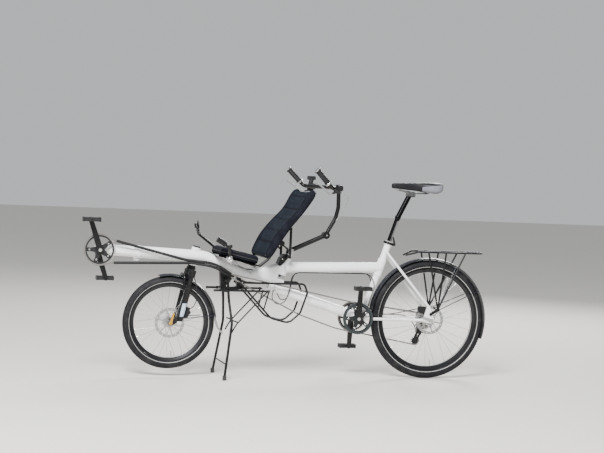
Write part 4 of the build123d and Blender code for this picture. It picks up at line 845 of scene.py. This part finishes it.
def stuffed(name, shape, swell, finish, voxel=0.006):
    """A padded piece from a closed mesh: cloth simulation blows its cover out, but no further than swell."""
    shape.normal_update()
    piece = placed(name, mesh_of(shape, name))
    bpy.context.view_layer.objects.active = piece
    remesh = piece.modifiers.new("even", "REMESH")
    remesh.mode = "VOXEL"
    remesh.voxel_size = voxel
    applied(piece)
    before = [vertex.co.copy() for vertex in piece.data.vertices]
    cloth = piece.modifiers.new("cover", "CLOTH")
    cloth.settings.use_pressure = True
    cloth.settings.uniform_pressure_force = PRESSURE
    cloth.settings.effector_weights.gravity = 0
    for number in range(1, LAST_FRAME + 1):
        bpy.context.scene.frame_set(number)
    applied(piece)
    bpy.context.scene.frame_set(1)
    for vertex, start in zip(piece.data.vertices, before):
        moved = vertex.co - start
        if moved.length > swell:
            vertex.co = start + moved.normalized() * swell
    piece.data.materials.clear()
    piece.data.materials.append(finish.material)
    piece.data.shade_smooth()
    return piece


def soft_box(centre, along, across, upward, half, corner, crown):
    """A closed cushion shape as a bmesh: rounded plan, sides pulled in, top and bottom crowned."""
    made = bmesh.new()
    bmesh.ops.create_cube(made, size=2)
    bmesh.ops.subdivide_edges(made, edges=made.edges[:], cuts=GRID_CUTS, use_grid_fill=True)
    for vertex in made.verts:
        u, v, w = vertex.co
        plan = max(abs(u), abs(v))
        if plan > 0:
            length = math.hypot(u, v)
            round_plan = Vector((u, v)) * (plan / length)
            u, v = Vector((u, v)).lerp(round_plan, corner * plan)
        edge = 1 - plan**4
        height = w * half[2] * (1 - SIDE_PULL + SIDE_PULL * edge) + (crown * edge if w > 0 else 0) * abs(w)
        vertex.co = Vector(centre) + along * u * half[0] + across * v * half[1] + upward * height
    return made


SEAT_ALONG = (spot(1240, 0, 670) - spot(1010, 0, 618)).normalized()
SEAT_UP = Vector((-SEAT_ALONG.z, 0, SEAT_ALONG.x))
LEFT = Vector((0, 1, 0))
CUSHION_HALF = (0.117, 0.142, 0.0185)
SEAT_MIDDLE = spot(1126, 0, 644) + SEAT_UP * 0.0195
SEAT_REACH, FRONT_START, REAR_START = 0.114, 0.3, 0.4
ROLL_HEIGHT, DIP_DEPTH, DIP_HALF, DIP_FLOOR = 0.004, 0.005, 0.09, 0.006
cushion_shape = soft_box(SEAT_MIDDLE, SEAT_ALONG, LEFT, SEAT_UP, CUSHION_HALF, 0.3, 0.004)
for vertex in cushion_shape.verts:
    away = vertex.co - SEAT_MIDDLE
    along, height = away.dot(SEAT_ALONG) / SEAT_REACH, away.dot(SEAT_UP)
    front = max(0.0, along - FRONT_START) / (1 - FRONT_START)
    rear = max(0.0, -along - REAR_START) / (1 - REAR_START)
    if height > 0:
        vertex.co += SEAT_UP * ROLL_HEIGHT * (math.sin(math.pi * min(1, front)) + rear)
    dip = DIP_DEPTH * max(0.0, 1 - (away.y / DIP_HALF) ** 2) * (1 - min(1, abs(along)) ** 2)
    if height > DIP_FLOOR:
        vertex.co -= SEAT_UP * dip
cushion = stuffed("cushion_pad", cushion_shape, 0.005, cover_cloth)


def tube_along(name, route, radius, sides=8):
    """A closed round cord as a mesh along a closed route of points."""
    count = len(route)

    def cord_point(row, step):
        """A point on the skin of the cord."""
        here = route[step]
        ahead = (route[(step + 1) % count] - route[step - 1]).normalized()
        outward = ahead.cross(Vector((0.3, 0.2, 1))).normalized()
        third = ahead.cross(outward)
        angle = 2 * math.pi * row / sides
        return here + (outward * math.cos(angle) + third * math.sin(angle)) * radius

    return ring_mesh(name, sides, count, cord_point)


def piping(name, owner, middle, normal, radius, finish):
    """A sewn cord round the waist of a pad, laid on its cover where a plane cuts it."""
    cut = bmesh.new()
    cut.from_mesh(owner.data)
    everything = cut.verts[:] + cut.edges[:] + cut.faces[:]
    sliced = bmesh.ops.bisect_plane(cut, geom=everything, plane_co=middle, plane_no=normal)
    seam = [item.co.copy() for item in sliced["geom_cut"] if isinstance(item, bmesh.types.BMVert)]
    cut.free()
    centre = sum(seam, Vector()) / len(seam)
    side = normal.orthogonal().normalized()
    other = normal.cross(side)
    sectors = {}
    for point in seam:
        away = point - centre
        angle = math.atan2(away.dot(other), away.dot(side)) + math.pi
        sector = int(angle / (2 * math.pi) * SEAM_SECTORS)
        if sector not in sectors or away.length > (sectors[sector] - centre).length:
            sectors[sector] = point
    route = [sectors[key] for key in sorted(sectors)]
    ahead = route[1:] + route[:1]
    smooth = [(route[number - 1] + here * 2 + ahead[number]) / 4 for number, here in enumerate(route)]
    mesh = tube_along(name, smooth, radius)
    mesh.materials.append(finish.material)
    return new_piece(name, mesh, "frame")


piping("cushion_piping", cushion, SEAT_MIDDLE + SEAT_UP * 0.002, SEAT_UP, 0.0022, soft_rubber)
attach(cushion, "frame")
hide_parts("seat_cushion")

# Seat back: a panel of mesh cloth stretched between the side tubes and quilted by seams across it, and a foam
# pad in a cover sleeved round each tube. The side pads stand forward of the panel and hold the rider.
BACK_LOW, BACK_HIGH = spot(978, 0, 652), spot(730, 0, 1022)
BACK_RUN = BACK_HIGH - BACK_LOW
BACK_FORWARD = Vector((BACK_RUN.z, 0, -BACK_RUN.x)).normalized()
BACK_BOW = 0.010


def back_place(share, across, forward):
    """A point of the seat back from its share of the height, its place across and its distance in front."""
    bow = BACK_BOW * max(0.0, 1 - abs(2 * share - 1)) ** 0.8 + forward
    return BACK_LOW + BACK_RUN * share + LEFT * across + BACK_FORWARD * bow


def hump(value, middle, width):
    """A smooth hump of height 1 about a middle value."""
    return math.exp(-(((value - middle) / width) ** 2))


def lumbar(share):
    """How far the seat back swells forward for the small of the back, and how far it draws back above it."""
    return 0.009 * hump(share, 0.28, 0.16) - 0.011 * hump(share, 0.7, 0.16)


PANEL_HALF, PANEL_THICKNESS = 0.151, 0.0024
PANEL_FOOT, PANEL_SHARE = 0.02, 0.95
PANEL_LIFT, PANEL_HOLLOW, PANEL_LUMBAR = 0.012, 0.009, 0.8
SEAMS = (0.04, 0.21, 0.38, 0.55, 0.72, 0.9)
SEAM_HALF, SEAM_REACH, PUFF = 0.010, 0.085, 0.0042


def panel_front(share, across):
    """How far the panel's front lies before the tubes: hollow in the middle, and puffed between the seams."""
    between_seams = min(abs(share - seam) for seam in SEAMS) / SEAM_REACH
    puffed = PUFF * min(1.0, between_seams) ** 0.5
    hollow = PANEL_HOLLOW * (across / PANEL_HALF) ** 2
    return PANEL_LIFT + hollow + puffed + PANEL_LUMBAR * lumbar(share)


ROWS, COLUMNS = 160, 40
panel_points, panel_faces = [], []
for layer in range(2):
    for row in range(ROWS + 1):
        share = PANEL_FOOT + PANEL_SHARE * row / ROWS
        for column in range(COLUMNS + 1):
            across = PANEL_HALF * (2 * column / COLUMNS - 1)
            forward = panel_front(share, across) - PANEL_THICKNESS * layer
            panel_points.append(back_place(share, across, forward))
stride = COLUMNS + 1
layer_size = (ROWS + 1) * stride
for row in range(ROWS):
    for column in range(COLUMNS):
        corner = row * stride + column
        front = (corner, corner + 1, corner + 1 + stride, corner + stride)
        panel_faces.append(front)
        panel_faces.append(tuple(reversed([number + layer_size for number in front])))
rim = list(range(COLUMNS))
rim += [row * stride + COLUMNS for row in range(ROWS)]
rim += [ROWS * stride + column for column in range(COLUMNS, 0, -1)]
rim += [row * stride for row in range(ROWS, 0, -1)]
for corner, after in zip(rim, rim[1:] + rim[:1]):
    panel_faces.append((corner, corner + layer_size, after + layer_size, after))
panel_mesh = bpy.data.meshes.new("back_panel")
panel_mesh.from_pydata(panel_points, [], panel_faces)
panel_mesh.update()
for cloth in (mesh_cloth, cover_cloth):
    panel_mesh.materials.append(cloth.material)
for face in panel_mesh.polygons:
    share = (face.center - BACK_LOW).dot(BACK_RUN) / BACK_RUN.length_squared
    if any(abs(share - seam) < SEAM_HALF for seam in SEAMS):
        face.material_index = 1
back_panel = new_piece("back_panel", panel_mesh, "frame")
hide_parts("seat_back_sling")

PAD_CENTRE, PAD_HALF = 0.1638, 0.0155
PAD_MIDDLE, PAD_RUN = 0.51, 0.50
PAD_FRONT, PAD_BACK, PAD_BULGE = 0.031, -0.0125, 0.010
PAD_END, PAD_CORNER = 0.25, 0.75
PAD_STATIONS, PAD_SIDES = 64, 28


def squared(value, power):
    """A cosine or a sine drawn out towards 1, which turns a circle into a rounded square."""
    return math.copysign(abs(value) ** power, value)


def side_pad_shape(side):
    """A long pad sleeved round one side tube: thick in front of it, thin behind, and round at both ends."""
    made = bmesh.new()
    rings = []
    for station in range(PAD_STATIONS + 1):
        turn = math.pi * station / PAD_STATIONS
        share = PAD_MIDDLE - PAD_RUN * math.cos(turn)
        end = max(PAD_END, max(0.0, 1 - abs(math.cos(turn)) ** 14) ** 0.5)
        front = PAD_FRONT + lumbar(share)
        back = PAD_BACK - PAD_BULGE * hump(share, 0.72, 0.3)
        ring = []
        for number in range(PAD_SIDES):
            angle = 2 * math.pi * number / PAD_SIDES
            wide = squared(math.cos(angle), PAD_CORNER) * PAD_HALF * end
            deep = squared(math.sin(angle), PAD_CORNER) * (front - back) / 2 * end
            place = back_place(share, side * PAD_CENTRE + wide, (front + back) / 2 + deep)
            ring.append(made.verts.new(place))
        rings.append(ring)
    skin(made, rings)
    bmesh.ops.recalc_face_normals(made, faces=made.faces)
    return made


for side, word in ((1, "left"), (-1, "right")):
    side_pad = stuffed(word + "_side_pad", side_pad_shape(side), 0.003, cover_cloth, 0.004)
    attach(side_pad, "frame")

# Saddle: a plastic shell with foam and a grained cover, black on top and light grey down the flanks at the
# back. Its underside is hollow over the steel rails that it is clamped by.
SADDLE_STATIONS = (
    # x, half width, underside, top
    (242, 9, 1064, 1083),
    (238, 16, 1059, 1088),
    (212, 20, 1057, 1092),
    (160, 24, 1052, 1095),
    (110, 30, 1049, 1097),
    (72, 46, 1045, 1099),
    (35, 66, 1038, 1100),
    (5, 78, 1033, 1101),
    (-20, 77, 1036, 1101),
    (-38, 67, 1046, 1099),
    (-47, 46, 1060, 1094),
)
SADDLE_SIDES, SADDLE_CORNER = 32, 0.62
HOLLOW_TOP, HOLLOW_FRONT, HOLLOW_SHARE = 1061, 180, 0.55
GROOVE_DEPTH, GROOVE_HALF = 4, 16


def saddle_point(row, station):
    """A point of the saddle's skin at a station, going round from the middle of the underside."""
    x, half, low, top = station
    angle = 2 * math.pi * row / SADDLE_SIDES - math.pi / 2
    y = half * squared(math.cos(angle), SADDLE_CORNER)
    rise = squared(math.sin(angle), SADDLE_CORNER)
    dip = GROOVE_DEPTH * hump(y, 0, GROOVE_HALF) if rise > 0 and x < HOLLOW_FRONT else 0
    z = (low + top) / 2 + rise * (top - low) / 2 - dip
    if rise < 0 and x < HOLLOW_FRONT and abs(y) < HOLLOW_SHARE * half:
        z = max(z, HOLLOW_TOP)
    return spot(x, y, z)


FLANK_FRONT, FLANK_INSIDE, FLANK_BELOW = (-0.732, -0.734), (0.036, 0.038), (0.0, 0.0008)
FLANK_TOP = (-0.732, -0.85, 1.074, 1.0905)
saddle_leather = Finish("saddle_leather", (0.007, 0.007, 0.009), 0, 0.5, shine=0.2)
ahead, left, height, outward = saddle_leather.axes()
below = saddle_leather.math("SUBTRACT", saddle_leather.between(ahead, *FLANK_TOP), height)
saddle_leather.patch((0.17, 0.17, 0.2), (below, FLANK_BELOW), (outward, FLANK_INSIDE), (ahead, FLANK_FRONT))
grain = saddle_leather.add("TexVoronoi", Vector=saddle_leather.place, Scale=620.0).outputs["Distance"]
saddle_leather.mottle(24, 5, 0.3, (0.03, 0.03, 0.03))
saddle_leather.rough(saddle_leather.noise(40, 3), 0.35, 0.6).relief(grain, 0.0003, 0.3)
made = bmesh.new()
rings = []
for station in SADDLE_STATIONS:
    rings.append([made.verts.new(saddle_point(row, station)) for row in range(SADDLE_SIDES)])
skin(made, rings)
saddle_mesh = mesh_of(made, "saddle_cover", saddle_leather)
saddle = new_piece("saddle_cover", saddle_mesh, "frame")
rounding = saddle.modifiers.new("rounding", "SUBSURF")
rounding.levels = 2
rounding.render_levels = 2
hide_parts("saddle")
